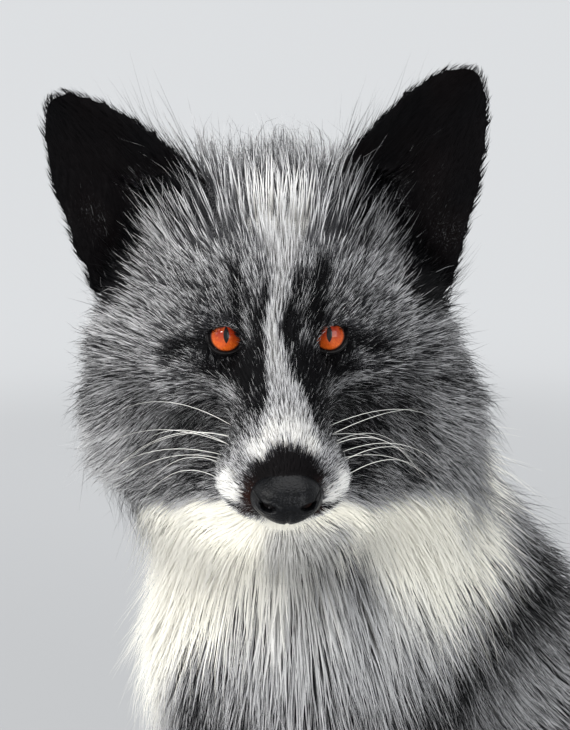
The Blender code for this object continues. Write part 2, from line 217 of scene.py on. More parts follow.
# name, place, size, power, colour and whether it shows in the eyes and the nose
lights = (
    ("key", (-0.55, -1.15, 1.15), 0.9, 12, (1.0, 0.985, 0.96), True),
    ("fill", (1.35, -0.75, 0.75), 0.9, 9, (0.96, 0.98, 1.0), True),
    ("front", (0.30, -1.47, 0.14), 1.3, 20, (1.0, 0.995, 0.985), False),
    ("top", (0.1, -0.1, 1.7), 1.2, 12, (1.0, 1.0, 1.0), True),
    ("rim", (-0.9, 0.9, 1.1), 0.9, 12, (0.97, 0.98, 1.0), True),
    ("spark", (0.16, -1.0, 0.95), 0.12, 1.6, (1.0, 1.0, 1.0), True),
)
litPoint = Vector((0, -0.1, 0.4))


def makeLights():
    bpy.context.scene.view_settings.view_transform = "Standard"
    world = bpy.data.worlds.new("studioWorld")
    bpy.context.scene.world = world
    world.use_nodes = True
    sky = world.node_tree.nodes["Background"]
    sky.inputs["Color"].default_value = (0.93, 0.96, 1.0, 1)
    sky.inputs["Strength"].default_value = studio["world"]
    for name, place, size, power, colour, shows in lights:
        data = bpy.data.lights.new(name, "AREA")
        data.shape, data.size, data.energy, data.color = "SQUARE", size, power, colour
        lamp = newObject(name, data)
        lamp.location = place
        lamp.visible_glossy = shows
        aim = litPoint - Vector(place)
        lamp.rotation_euler = aim.to_track_quat("-Z", "Y").to_euler()


makeCamera()
makeBackdrop()
makeLights()
print("camera and studio made")

# helpers for meshes


# one field of every item, as an array this many wide
def fieldOf(items, field, wide=1, kind=np.float32):
    values = np.empty(len(items) * wide, kind)
    items.foreach_get(field, values)
    return values.reshape(-1, wide) if wide > 1 else values


def meshPoints(mesh):
    return fieldOf(mesh.vertices, "co", 3).astype(float)


def setPoints(mesh, points):
    mesh.vertices.foreach_set("co", points.astype(np.float32).ravel())
    mesh.update()


def meshNormals(mesh):
    return fieldOf(mesh.vertex_normals, "vector", 3).astype(float)


# each value moves towards the mean of its neighbours
def spread(values, edges, rounds, weight=1.0):
    values = np.array(values, float)
    flat = values.reshape(len(values), -1)
    count = np.maximum(np.bincount(edges.ravel(), minlength=len(flat)), 1)[:, None]
    weight = np.broadcast_to(np.asarray(weight, float), (len(flat),))[:, None]
    for _ in range(rounds):
        total = np.stack(
            [
                np.bincount(edges[:, 0], flat[edges[:, 1], k], len(flat))
                + np.bincount(edges[:, 1], flat[edges[:, 0], k], len(flat))
                for k in range(flat.shape[1])
            ],
            1,
        )
        flat = flat + (total / count - flat) * weight
    return flat.reshape(values.shape)


# random values drawn out into streaks along the lie of the coat, about 0 with a spread of 1
def streaked(edges, points, ways, rounds, seed):
    values = np.random.default_rng(seed).normal(size=len(points))
    across = unit(points[edges[:, 1]] - points[edges[:, 0]])
    pull = np.abs(np.sum(across * unit(ways[edges[:, 0]] + ways[edges[:, 1]]), 1)) ** 5
    total = np.bincount(edges[:, 0], pull, len(points)) + np.bincount(edges[:, 1], pull, len(points))
    for _ in range(rounds):
        flow = np.bincount(edges[:, 0], pull * values[edges[:, 1]], len(points))
        flow += np.bincount(edges[:, 1], pull * values[edges[:, 0]], len(points))
        values = 0.4 * values + 0.6 * flow / np.maximum(total, 1e-6)
    return (values - values.mean()) / values.std()


def applyModifiers(obj):
    graph = bpy.context.evaluated_depsgraph_get()
    obj.data = bpy.data.meshes.new_from_object(obj.evaluated_get(graph), depsgraph=graph)
    obj.modifiers.clear()


def bvhOf(mesh):
    mesh.calc_loop_triangles()
    faces = fieldOf(mesh.loop_triangles, "vertices", 3, np.int32)
    return BVHTree.FromPolygons(meshPoints(mesh).tolist(), faces.tolist()), faces


# smooth noise from -1 to 1 with lumps about this size
def wobble(points, size, seed):
    shift = Vector((seed * 7.3, seed * 3.1, seed * 5.7))
    return np.array([noise.noise(Vector(p) / size + shift) for p in points])


# the skin: one surface over every node of flesh
skinParts = [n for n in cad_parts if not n.startswith("eye") and n != "nose"]

skinForm = {
    "voxel": 0.0025,
    "earFatter": 0.0022,
    "bodyShare": 0.34,
    "headReach": 0.125,
    "bodySmoothing": 30,
    "headSmoothing": 6,
    "faceReach": 0.062,  # finer mesh within this of the bridge of the nose
    "lidReach": 0.017,
}

pawNames = [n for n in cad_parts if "paw" in n]
pawBoxes = [tuple(np.array(c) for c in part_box(n)) for n in pawNames]


# the flesh nodes fused to one closed surface, which is still out at the tips of the coat
def coatSurface():
    bm = bmesh.new()
    for name in [*skinParts, "eye_left", "eye_right", "nose"]:
        part = bmesh.new()
        part.from_mesh(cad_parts[name].data)
        bmesh.ops.remove_doubles(part, verts=part.verts, dist=1e-6)
        if name.startswith("ear"):
            # the thin rims would be lost otherwise
            part.normal_update()
            for vert in part.verts:
                vert.co += vert.normal * skinForm["earFatter"]
        copy = bpy.data.meshes.new("part")
        part.to_mesh(copy)
        part.free()
        bm.from_mesh(copy)
        bpy.data.meshes.remove(copy)
    mesh = bpy.data.meshes.new("skin")
    bm.to_mesh(mesh)
    bm.free()
    mesh.materials.clear()
    skin = newObject("skin", mesh)
    remesh = skin.modifiers.new("remesh", "REMESH")
    remesh.mode, remesh.voxel_size = "VOXEL", skinForm["voxel"]
    applyModifiers(skin)
    # the body can be coarser than the head
    points = meshPoints(skin.data)
    coarse = np.linalg.norm(points - inHead(0, -0.03, 0.01), axis=1) > skinForm["headReach"]
    for low, high in pawBoxes:
        coarse &= ~np.all((points > low - 0.004) & (points < high + 0.004), axis=1)
    group = skin.vertex_groups.new(name="coarse")
    for i in np.flatnonzero(coarse).tolist():
        group.add((i,), 1.0, "REPLACE")
    thin = skin.modifiers.new("thin", "DECIMATE")
    thin.ratio, thin.vertex_group = skinForm["bodyShare"], "coarse"
    applyModifiers(skin)
    skin.vertex_groups.clear()
    bm = bmesh.new()
    bm.from_mesh(skin.data)
    faceMiddle = Vector(inHead(0, 0.018, -0.018))
    eyes = [Vector(middleOf(f"eye_{side}")) for side in ("left", "right")]
    for near in (
        lambda p: (p - faceMiddle).length < skinForm["faceReach"],
        lambda p: min((p - e).length for e in eyes) < skinForm["lidReach"],
    ):
        chosen = [e for e in bm.edges if near(e.verts[0].co) and near(e.verts[1].co)]
        bmesh.ops.subdivide_edges(bm, edges=chosen, cuts=1, use_grid_fill=True)
    bmesh.ops.triangulate(bm, faces=[f for f in bm.faces if len(f.verts) > 4])
    bm.to_mesh(skin.data)
    bm.free()
    skin.data.shade_smooth()
    return skin


# the name of the node of flesh that each point lies on
def nearestNodes(points):
    verts, faces, names = [], [], []
    for name in skinParts:
        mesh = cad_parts[name].data
        base = len(verts)
        verts += [v.co[:] for v in mesh.vertices]
        faces += [[base + i for i in p.vertices] for p in mesh.polygons]
        names += [name] * len(mesh.polygons)
    tree = BVHTree.FromPolygons(verts, faces)
    return np.array([names[tree.find_nearest(p)[2]] for p in points.tolist()])


skin = coatSurface()
coatPoints = meshPoints(skin.data)
edges = fieldOf(skin.data.edges, "vertices", 2, np.int32)
owner = nearestNodes(coatPoints)
isHead = np.isin(owner, ("head", "muzzle", "lower_jaw"))
isEar = np.char.startswith(owner, "ear")
isPaw = np.char.find(owner, "paw") >= 0
isLeg = np.char.find(owner, "leg") >= 0
isTail = np.char.startswith(owner, "tail")
print("skin fused,", len(coatPoints), "points")

firmness = np.where(isHead | isEar | isPaw, 0.0, 1.0)
firmness = spread(firmness, edges, 8)
coatPoints = spread(coatPoints, edges, skinForm["headSmoothing"], np.where(isEar, 0.3, 0.5))
coatPoints = spread(coatPoints, edges, skinForm["bodySmoothing"], 0.5 * firmness)
setPoints(skin.data, coatPoints)
coatNormals = meshNormals(skin.data)

# hair stands proud of the coat's surface at the cheek, so the surface there keeps a little inside
cheek = {"aside": (-0.045, -0.062), "up": (-0.090, -0.068, -0.040, -0.022), "in": 0.0074}


def slimCheek():
    aside, _, up = headCoords(coatPoints).T
    share = ramp(-aside, -cheek["aside"][0], -cheek["aside"][1])
    share *= ramp(up, *cheek["up"][:2]) * (1 - ramp(up, *cheek["up"][2:])) * isHead
    return coatPoints - coatNormals * (spread(share, edges, 10) * cheek["in"])[:, None]


coatPoints = slimCheek()

# furrows between the toes
toeForm = {
    "furrows": (-0.25, 0.0, 0.25),  # shares of the paw's width from its middle
    "deep": 0.0050,
    "wide": 0.0026,  # half width
    "back": 0.026,
    "high": 0.026,
}


def toeFurrows():
    deep = np.zeros(len(coatPoints))
    for name, (low, high) in zip(pawNames, pawBoxes, strict=True):
        mine = owner == name
        middle, width = (low[0] + high[0]) / 2, high[0] - low[0]
        back = (coatPoints[:, 1] - low[1]) / toeForm["back"]
        reach = 1 - ramp(coatPoints[:, 2], 0.6 * toeForm["high"], toeForm["high"])
        reach = (1 - ramp(back, 0.45, 1.0)) * reach
        for share in toeForm["furrows"]:
            off = coatPoints[:, 0] - middle - share * width * (1 - 0.25 * np.clip(back, 0, 1))
            deep = np.maximum(deep, mine * reach * hump(off, toeForm["wide"]))
    return deep


toeGap = toeFurrows()
coatPoints = coatPoints - coatNormals * (toeGap * toeForm["deep"])[:, None]
setPoints(skin.data, coatPoints)
coatNormals = meshNormals(skin.data)

# the coat's length, depth and lie
coatLengths = {  # hair length and how far it lifts off the skin, in mm
    "neck": (58, 26),
    "chest": (66, 28),
    "hindquarters": (52, 22),
    "front_leg": (20, 7),
    "front_paw": (8, 2.6),
    "hind_leg": (36, 15),
    "hind_paw": (9, 2.8),
    "tail": (68, 30),
    "ear": (5.5, 2.2),
}
headFromNose = [0.02, 0.05, 0.075, 0.095, 0.12, 0.145, 0.175]
headLengths = [5.0, 7.5, 11.0, 18.0, 28.0, 40.0, 54.0]
headDepths = [1.4, 1.9, 3.0, 5.0, 8.5, 13.5, 19.0]
noseRoot = np.array((0, 0.080, -0.045))


def coatNumbers():
    length = np.full(len(coatPoints), 40.0)
    depth = np.full(len(coatPoints), 18.0)
    for name, (hair, lift) in coatLengths.items():
        mine = np.char.startswith(owner, name)
        length[mine], depth[mine] = hair, lift
    place = headCoords(coatPoints)
    away = np.linalg.norm(place - noseRoot, axis=1)
    length[isHead] = np.interp(away, headFromNose, headLengths)[isHead]
    depth[isHead] = np.interp(away, headFromNose, headDepths)[isHead]
    cup = isEar * ramp(np.sum(coatNormals * headForward, 1), 0.1, 0.6)
    length += 5 * cup
    free = np.where(isEar | (isHead & (away < 0.1)), 0.15, 1.0)
    length, depth = spread(np.stack((length, depth), 1), edges, 14, free * 0.7).T
    toEye = np.min([np.linalg.norm(coatPoints - middleOf(f"eye_{s}"), axis=1) for s in ("left", "right")], 0)
    close = ramp(toEye, 0.009, 0.030)
    length = np.where(toEye < 0.04, np.minimum(length, 3.2 + 10 * close), length)
    depth = np.where(toEye < 0.04, np.minimum(depth, 1.6 + 4.5 * close), depth)
    # where the fox rests on the floor its coat is pressed flat
    pressed = 0.12 + 0.88 * ramp(coatPoints[:, 2], 0.004, 0.045)
    return length / 1000, depth * pressed / 1000, toEye


# how far each point is from the line where the muzzle meets the lower jaw
def lipDistance():
    meets = (owner[edges[:, 0]] == "muzzle") & (owner[edges[:, 1]] == "lower_jaw")
    meets |= (owner[edges[:, 0]] == "lower_jaw") & (owner[edges[:, 1]] == "muzzle")
    line = coatPoints[edges[meets]].mean(1)
    line = line[headCoords(line)[:, 2] > -0.056]
    near = np.flatnonzero(np.linalg.norm(coatPoints - inHead(0, 0.05, -0.05), axis=1) < 0.07)
    gap = np.full(len(coatPoints), 1.0)
    for some in np.array_split(near, 40):
        gap[some] = np.linalg.norm(coatPoints[some, None] - line[None], axis=2).min(1)
    return gap


hairLength, hairDepth, toEye = coatNumbers()
spot = headCoords(coatPoints)
lipGap = lipDistance()
hairLength = hairLength * (0.45 + 0.55 * ramp(lipGap, 0.0015, 0.006))
hairDepth = hairDepth + 0.0016 * (1 - ramp(lipGap, 0.0008, 0.0026))

tailLay = {"centre": (0.0230, 0.2800), "radii": (0.118, 0.150)}  # from the point between the eyes


# which way the hair points at each place, before it is laid along the surface
def lieOfCoat():
    x, y, _ = (coatPoints - browPoint).T
    # trunk: down the chest, back and down over the flanks
    backward = ramp(y, 0.04, 0.20)
    lie = np.stack((1.5 * (x + 0.055), 0.62 * backward - 0.03, -np.ones_like(x)), 1)
    hind = np.char.startswith(owner, "hind_leg")
    lie[hind] = (0, 0.55, -0.8)
    front = np.char.startswith(owner, "front_leg")
    lie[front] = (0, -0.12, -1)
    lie[np.char.startswith(owner, "front_paw")] = (0, -0.9, -0.45)
    lie[np.char.startswith(owner, "hind_paw")] = (0.05, -1, -0.12)
    (cx, cy), (a, b) = tailLay["centre"], tailLay["radii"]
    alongTail = np.stack(((y - cy) * a / b, -(x - cx) * b / a, np.full_like(x, -0.010)), 1)
    lie[isTail] = unit(alongTail)[isTail]
    # head: back from the nose, outward over the brows and down over the cheeks
    away = spot - noseRoot
    low = ramp(-spot[:, 2], -0.012, 0.055)
    wide = ramp(np.abs(spot[:, 0]), 0.018, 0.060)
    behind = ramp(-spot[:, 1], 0.075, 0.125)
    comb = away.copy()
    comb[:, 0] *= 1.0 + 1.1 * wide
    comb[:, 2] -= 0.125 * low * wide + 0.24 * behind
    comb[:, 2] += 0.035 * ramp(spot[:, 2], 0.01, 0.05) * (1 - behind)
    lie[isHead] = (comb @ headAxes)[isHead]
    for side, sign in (("left", 1), ("right", -1)):
        mine = owner == f"ear_{side}"
        lie[mine] = headUp * 0.9 + headLeft * sign * 0.45 - headForward * 0.15
    lie = unit(lie)
    flat = lie - coatNormals * np.sum(lie * coatNormals, 1)[:, None]
    flat = spread(flat, edges, 16, np.where(isEar, 0.1, 0.6))
    flat = unit(flat)
    for k, (size, strength) in enumerate(((0.030, 0.22), (0.011, 0.20))):
        sway = np.stack([wobble(coatPoints, size, 11 + 3 * k + j) for j in range(3)], 1)
        flat = flat + sway * strength
    flat -= coatNormals * np.sum(flat * coatNormals, 1)[:, None]
    return unit(flat)


lie = lieOfCoat()
skinPoints = coatPoints - coatNormals * hairDepth[:, None]
skinPoints = spread(skinPoints, edges, 4, 0.5 * (1 - isEar))
print("coat lengths and lie settled")

# lids: the skin follows the eyeball outside the opening and drops behind it inside

eyeForm = {
    "radius": 0.0098,
    "gazeUp": 21.5,  # degrees above the head's forward axis
    "gazeAside": {1: -4.0, -1: 1.5},
    "halfWide": 0.0080,
    "lidUp": 0.0063,
    "lidDown": 0.0074,
    "lid": 0.0008,
}


def eyeAxes(sign):
    up, aside = math.radians(eyeForm["gazeUp"]), math.radians(eyeForm["gazeAside"][sign])
    ahead = headForward * math.cos(up) + headUp * math.sin(up)
    ahead = unit(ahead * math.cos(aside) + headLeft * math.sin(aside))
    across = unit(headLeft - ahead * (headLeft @ ahead))
    above = np.cross(ahead, across)
    above = above if above @ headUp > 0 else -above
    return np.array((across, above, ahead))


# how high the upper and lower lid stand at this share of the way to the outer corner, -1 to 1
def lidLine(outward):
    arch = np.sqrt(np.clip(1 - np.abs(outward) ** 2.1, 0, 1))
    return eyeForm["lidUp"] * arch, -eyeForm["lidDown"] * arch


def shapeLids(points):
    points = points.copy()
    for side, sign in (("left", 1), ("right", -1)):
        centre, axes = middleOf(f"eye_{side}"), eyeAxes(sign)
        place = (points - centre) @ axes.T
        reach = np.linalg.norm(place, axis=1)
        near = (reach < 0.021) & (place[:, 2] > -0.003)
        outward = place[:, 0] * sign / eyeForm["halfWide"]
        top, bottom = lidLine(outward)
        inside = near & (np.abs(outward) < 1) & (place[:, 1] < top) & (place[:, 1] > bottom)
        gap = np.maximum(place[:, 1] - top, bottom - place[:, 1])
        gap = np.maximum(gap, (np.abs(outward) - 1) * eyeForm["halfWide"])
        hug = near & ~inside
        wanted = eyeForm["radius"] + eyeForm["lid"]
        share = np.where(hug, 1 - ramp(gap, 0.0005, 0.0075), 0)
        above = np.where(hug & (reach < wanted), 1, share)
        target = np.where(inside, eyeForm["radius"] - 0.0022, mixed(reach, wanted, above))
        target = np.where(near, target, reach)
        points += ((target / np.maximum(reach, 1e-6) - 1)[:, None] * place) @ axes
    return points


skinPoints = shapeLids(skinPoints)
skinPoints[:, 2] = np.maximum(skinPoints[:, 2], 0.0015)  # above the floor, with room for its hair
setPoints(skin.data, skinPoints)
print("lids shaped")

# where each hair's middle and tip lie: along the coat's outer surface
coatMesh = skin.data.copy()
setPoints(coatMesh, coatPoints)
coatTree, coatFaces = bvhOf(coatMesh)

# how far hair keeps its own line instead of bending round the coat, and how far it lifts outward
standOff = {
    "crown": (0.35, 0.12),
    "ruff": (0.45, 0.0),
    "temple": (0.50, 0.06),
    "ear": (0.22, 0.04),
    "mane": (0.25, 0.0),
    "tuft": (0.55, 0.22),  # beside the inner base of the ear
}


# walks along the outer surface from above each root, in two steps
def followCoat():
    half = hairLength * 0.46
    crown = isHead * ramp(spot[:, 2], 0.035, 0.060) * ramp(-spot[:, 1], 0.02, 0.05)
    ruff = isHead * ramp(np.abs(spot[:, 0]), 0.042, 0.070) * ramp(-spot[:, 2], 0.0, 0.05)
    mane = (owner == "neck") | (owner == "chest")
    temple = isHead * ramp(spot[:, 0], 0.046, 0.062) * ramp(spot[:, 2], -0.03, -0.005)
    temple = temple * (1 - ramp(spot[:, 2], 0.03, 0.05))
    aside = np.abs(spot[:, 0])
    tuft = isHead * ramp(aside, 0.020, 0.030) * (1 - ramp(aside, 0.046, 0.056))
    tuft = tuft * ramp(spot[:, 2], 0.034, 0.050)
    masks = {"crown": crown, "ruff": ruff, "temple": temple, "ear": isEar, "mane": mane, "tuft": tuft}
    straight = np.max([masks[name] * amounts[0] for name, amounts in standOff.items()], 0)
    lift = np.max([masks[name] * amounts[1] for name, amounts in standOff.items()], 0)
    straight, lift = spread(np.stack((straight, lift), 1), edges, 6, 0.5).T
    half = half * (1 + 0.08 * ruff + 0.35 * tuft)
    here, normals, ways = coatPoints, coatNormals, lie
    stops = []
    for _ in range(2):
        ahead = here + ways * half[:, None] + normals * (lift * half)[:, None]
        landed = np.empty_like(here)
        landedNormals = np.empty_like(here)
        landedWays = np.empty_like(here)
        for i, p in enumerate(ahead.tolist()):
            spotOn, normal, face, _ = coatTree.find_nearest(p)
            landed[i] = spotOn
            landedNormals[i] = normal
            landedWays[i] = lie[coatFaces[face]].mean(0)
        kept = straight[:, None]
        here = landed * (1 - kept) + ahead * kept
        ways = unit(landedWays * 0.6 + ways * 0.4)
        normals = landedNormals
        stops.append(here)
    middle, tip = stops
    rise = hairDepth[:, None] * coatNormals
    middle = middle - rise * 0.30
    tip = tip + normals * (0.0006 + hairLength * 0.015)[:, None]
    bend = 2 * middle - 0.5 * (skinPoints + tip)
    bend = spread(bend - skinPoints, edges, 2, 0.5)
    return bend, spread(tip - skinPoints, edges, 2, 0.5)


bendWay, tipWay = followCoat()
print("hairs laid along the coat")

# markings, worked out where each hair shows rather than where it grows
seenAt = coatPoints + 0.62 * (tipWay + skinPoints - coatPoints)
left, forward, up = headCoords(seenAt).T * 1000  # in mm
high = 0.913 * up - 0.406 * forward  # up the face, seen from 24 degrees above the way it points
width = np.abs(left)
rough = wobble(seenAt, 0.006, 1)
soft = wobble(seenAt, 0.018, 2)
streaks = streaked(edges, coatPoints, lie, 10, 5)

# by the angle round the neck from the front: heights of the white ring's two edges and of the strap
collar = (
    (-180, 0.385, 0.440, 0.300),
    (-110, 0.335, 0.425, 0.270),
    (-60, 0.262, 0.396, 0.215),
    (-30, 0.262, 0.396, 0.220),
    (-13, 0.289, 0.398, 0.250),
    (-2, 0.305, 0.402, 0.282),
    (6, 0.313, 0.406, 0.284),
    (12, 0.320, 0.410, 0.276),
    (21, 0.336, 0.415, 0.270),
    (32, 0.350, 0.415, 0.266),
    (43, 0.359, 0.412, 0.268),
    (60, 0.337, 0.404, 0.270),
    (80, 0.316, 0.398, 0.274),
    (98, 0.306, 0.394, 0.276),
    (115, 0.310, 0.392, 0.287),
    (133, 0.349, 0.398, 0.303),
    (180, 0.385, 0.440, 0.300),
)
neckAxis = browPoint[:2] + (-0.0546, 0.1087)


# grey with a pale breast, a white ring and a dark strap round the neck, dark legs and a white tail tip
def bodyMarks():
    x, y, z = seenAt.T
    turn = np.degrees(np.arctan2(x - neckAxis[0], -(y - neckAxis[1])))
    angles, *heights = np.array(collar).T
    lower, upper, strapAt = (np.interp(turn, angles, line) for line in heights)
    lower = lower + 0.008 * soft
    behind = ramp(np.abs(turn), 120, 160)
    ring = ramp(z, lower - 0.010, lower + 0.010) * (1 - ramp(z, upper, upper + 0.015 + 0.02 * behind))
    breast = band(turn, -85, 128, 14) * ramp(z, strapAt - 0.016, strapAt + 0.026)
    paler = stepped(turn, (18, 0.87), (34, 0.88), (42, 0.76), (60, 0.77), (75, 0.82))
    wedge = band(turn, 43, 50, 4) * band(z, 0.350, 0.376, 0.008)
    strap = band(z, strapAt - 0.020, strapAt + 0.018, 0.008)
    strap *= stepped(
        turn, (-40, 0), (-16, 0.1), (-6, 0.55), (8, 0.8), (16, 0.35), (30, 0.35), (46, 0.6), (62, 0.30),
        (74, 0.7), (84, 1), (142, 1), (162, 0.2)
    )
    darkLimb = 0.10 + 0.05 * soft
    silver = painted(
        0.42 + 0.08 * soft + 0.10 * wobble(seenAt, 0.045, 3) + 0.12 * streaks,
        (paler + 0.09 * streaks, breast),
        (0.42, wedge),
        (np.where(turn > 85, 0.09, 0.17), strap),
        (0.62, ramp(turn, 121, 134) * band(z, 0.212, 0.258, 0.012)),
        (darkLimb, 0.75 * (1 - ramp(z, 0.10, 0.24))),
        (1.0, ring),
    )
    silver = np.where(isLeg | isPaw, np.minimum(silver, darkLimb + 0.30 * ramp(z, 0.09, 0.22)), silver)
    silver = np.where(isPaw, 0.04, silver)
    behindTip = middleOf("tail_tip")[1] - y
    tail = mixed(0.20 + 0.12 * soft, 1.0, ramp(behindTip, -0.005 + 0.01 * soft, 0.030))
    cream = painted(np.full(len(z), 0.12), (0.35, breast), (0.85 + 0.2 * soft, ring))
    return np.where(isTail, tail, silver), cream


# how far each point is from the middle line of the blaze
centred = left - stepped(
    high, (-28, 1.3), (-20, 1.2), (-12, -1.7), (-5, -2.6), (3, -3.8), (9, -3.3), (16, -1.2), (26, 0.3),
    (34, 1.5), (43, 1.7)
)


# the greys under the sharper marks
def faceGround():
    darkSide = np.where(left > 0, 0.20, 0.26)
    crescent = band(width, 15, 42, 5) * hump(high + 19 - 0.3 * (width - 26), 3.6)
    lowSide = ramp(width, 46, 62) * ramp(-high, -5, 20)
    return painted(
        0.50 + 0.05 * soft,
        (0.42, ramp(-high, -14, 10)),
        (0.50, ramp(high, 52, 68)),
        (0.63, band(-left, 18, 50, 6) * band(high, 40, 68, 7)),
        (0.64, band(left, 14, 32, 5) * band(high, 42, 64, 6)),
        (0.36, band(width, 12, 42, 5) * band(high, 10, 26, 6)),
        (0.60, band(-left, 50, 80, 6) * band(high, -24, 14, 7)),
        (darkSide, band(width, 16, 50, 10) * ramp(-high, 4, 24)),
        (0.62, 0.8 * crescent),
        (0.42, lowSide * (left < 0)),
        (0.34, lowSide * (left > 0)),
        (0.20, band(left, 34, 54, 6) * band(-high, 32, 60, 6)),
        (0.42, band(-left, 34, 54, 6) * band(-high, 16, 30, 6)),
        (0.74, ramp(-left, 60, 78) * ramp(-high, 26, 46)),
        (0.40, ramp(-forward, 70, 105)),
        (0.52, ramp(left, 70, 82) * ramp(-high, 16, 34)),
    )


# black from the outer bases of the ears down the sides of the head
def earBases():
    edgeAt = stepped(high, (12, 76), (20, 71), (42, 63.5), (60, 59), (75, 53)) - 3 * (left > 0)
    return ramp(width + 3 * rough, edgeAt - 3, edgeAt + 4) * ramp(high, 8, 22)


# dark lines beside the blaze and down to the inner corners of the eyes
def darkLines():
    rise = ramp(high, 10, 36)
    lines = (
        band(-centred, 4.4, 8.2 - 2.0 * rise, 1.2) * band(high, -24, 34, 6),
        band(centred, 4.4, 12.0 - 4.0 * rise, 1.3) * band(high, -24, 30, 6),
        band(-left, 17.3, 21.3, 1.4) * band(high, 2, 36, 6),
        band(left, 13.6 + 2.5 * rise, 19.6 + 3.5 * rise, 1.4) * band(high, 2, 36, 6),
        0.9 * band(np.abs(centred), 5.0, 19, 2.4) * band(high, -30, 2, 4),
        0.55 * band(left, 5.0, 16, 1.5) * band(high, 0, 28, 6),
    )
    return np.clip(np.max(lines, 0) * (0.9 + 0.3 * rough), 0, 1)


# dark skin round the eyes, under them and back from their outer corners
def darkEyes():
    around = 1 - ramp(toEye * 1000, 12.0, 18)
    streak = band(width, 27, 52, 4) * hump(high - (4 - 0.32 * (width - 27)), 4.2)
    under = band(width, 7, 36, 4) * hump(high + 11.0, 5.6)
    return np.clip(np.max((around, 0.9 * streak, 0.95 * under), 0), 0, 1)


# the pale stripe up the face, soft-edged where it widens over the forehead
def blazeShare():
    half = stepped(
        high, (-30, 11), (-20, 7), (-12, 5), (-5, 4.2), (3, 3.2), (16, 3.4), (26, 4.6), (34, 8.0), (43, 12),
        (56, 18), (72, 24)
    )
    edge = stepped(high, (20, 1.6), (34, 4.5), (60, 11.0))
    share = 1 - ramp(np.abs(centred) + 1.2 * rough, half - edge, half + edge)
    return share * (1 - ramp(high, 70, 90)) * (forward > -90)


# dark short hair round the nose, and how brown it is
def noseMarks():
    halfWide = stepped(high, (-74, 16.5), (-60, 18.8), (-50, 16.0), (-44, 12.5))
    off = np.abs(left - stepped(high, (-60, -1.6), (-44, 1.0)))
    peaks = -39.0 - 0.045 * off**2
    reach = np.maximum(off / halfWide, 1 + (high - peaks) / 10) + 0.14 * rough
    onJaw = ramp(forward, 6, 14) * (1 - ramp(lipGap, 0.0058, 0.0092))
    dark = (1 - ramp(reach, 0.82, 1.10)) * np.where(owner == "lower_jaw", onJaw, ramp(forward, 20, 30))
    return dark, dark * (0.05 + 0.95 * ramp(off, 9, 16) * ramp(-high, 50, 60))


# white under the jaw and out over the throat
def throatShare():
    throat = ramp(-up, 74, 92) * ramp(forward, -75, -40) * (1 - ramp(width, 38, 54))
    bibTop = stepped(
        left, (-80, 88), (-66, 81), (-50, 73), (-40, 69), (-30, 66), (30, 69), (52, 73.5), (70, 71), (90, 75)
    )
    bib = ramp(-high + 3.0 * rough + 2.0 * soft, bibTop - 6, bibTop + 9) * (width < 100)
    return np.maximum(throat, bib)


def headMarks():
    blaze, throat = blazeShare(), throatShare()
    dark, brown = noseMarks()
    blazeTone = stepped(
        high, (-38, 0.87), (-20, 0.80), (0, 0.84), (20, 0.82), (50, 0.83), (62, 0.83), (76, 0.93)
    )
    muzzleTop = -30 - 20 * (width / 26) ** 2 + 2.5 * rough
    white = (1 - ramp(high, muzzleTop - 5, muzzleTop + 4)) * ramp(forward, -4, 8) * (1 - ramp(width, 26, 33))
    pepper = ramp(wobble(seenAt, 0.0026, 4), 0.1, 0.8)
    specks = white * hump(width - 17, 5) * hump(high + 50, 6)
    chin = isHead * ramp(-up, 52, 58) * ramp(forward, -5, 12)
    silver = painted(
        faceGround(),
        (0.02, earBases()),
        (0.04, darkLines()),
        (0.04, darkEyes()),
        (blazeTone, blaze),
        (0.945 - 0.055 * ramp(high, -52, -36), white),
        (0.60, 0.75 * white * pepper),
        (0.4, 0.5 * specks),
        (0.02, dark),
        (0.90, chin * (1 - dark)),
        (1.0, throat),
        (0.86, throat * band(left, -8, 40, 8) * ramp(-high, 78, 90)),
    )
    silver = silver + 0.07 * streaks * (1 - blaze) * (1 - white)
    silver = mixed(silver, 0.0, 1 - ramp(lipGap, 0.0007, 0.0021))
    cream = mixed(0.10 + 0.10 * white + 0.25 * blaze, 0.9, np.maximum(throat, chin))
    return silver, cream, brown


# black backs, and cups with a little silver and brown in their hair
def earMarks():
    facing = np.sum(coatNormals * headForward, 1)
    fuzz = ramp(facing, 0.1, 0.6) * (1 - ramp(spot[:, 2], 0.035, 0.062))
    silver = 0.30 * fuzz * (1 - ramp(np.abs(spot[:, 0]), 0.056, 0.068))
    silver = silver + 0.14 * fuzz * np.clip(soft, 0, 1)
    return silver, np.zeros(len(spot)), ramp(facing, 0.1, 0.5) * (0.04 + 0.06 * soft)


# how silver, how cream and how brown the hair is at each point
def markings():
    tones = np.stack((*bodyMarks(), np.zeros(len(seenAt))), 1)
    tones = np.where(isHead[:, None], np.stack(headMarks(), 1), tones)
    tones = np.where(isEar[:, None], np.stack(earMarks(), 1), tones)
    return spread(np.clip(tones, 0, 1), edges, 5, 0.5 * (1 - isHead) * (1 - isEar)).T


silver, cream, brown = markings()
print("markings worked out")

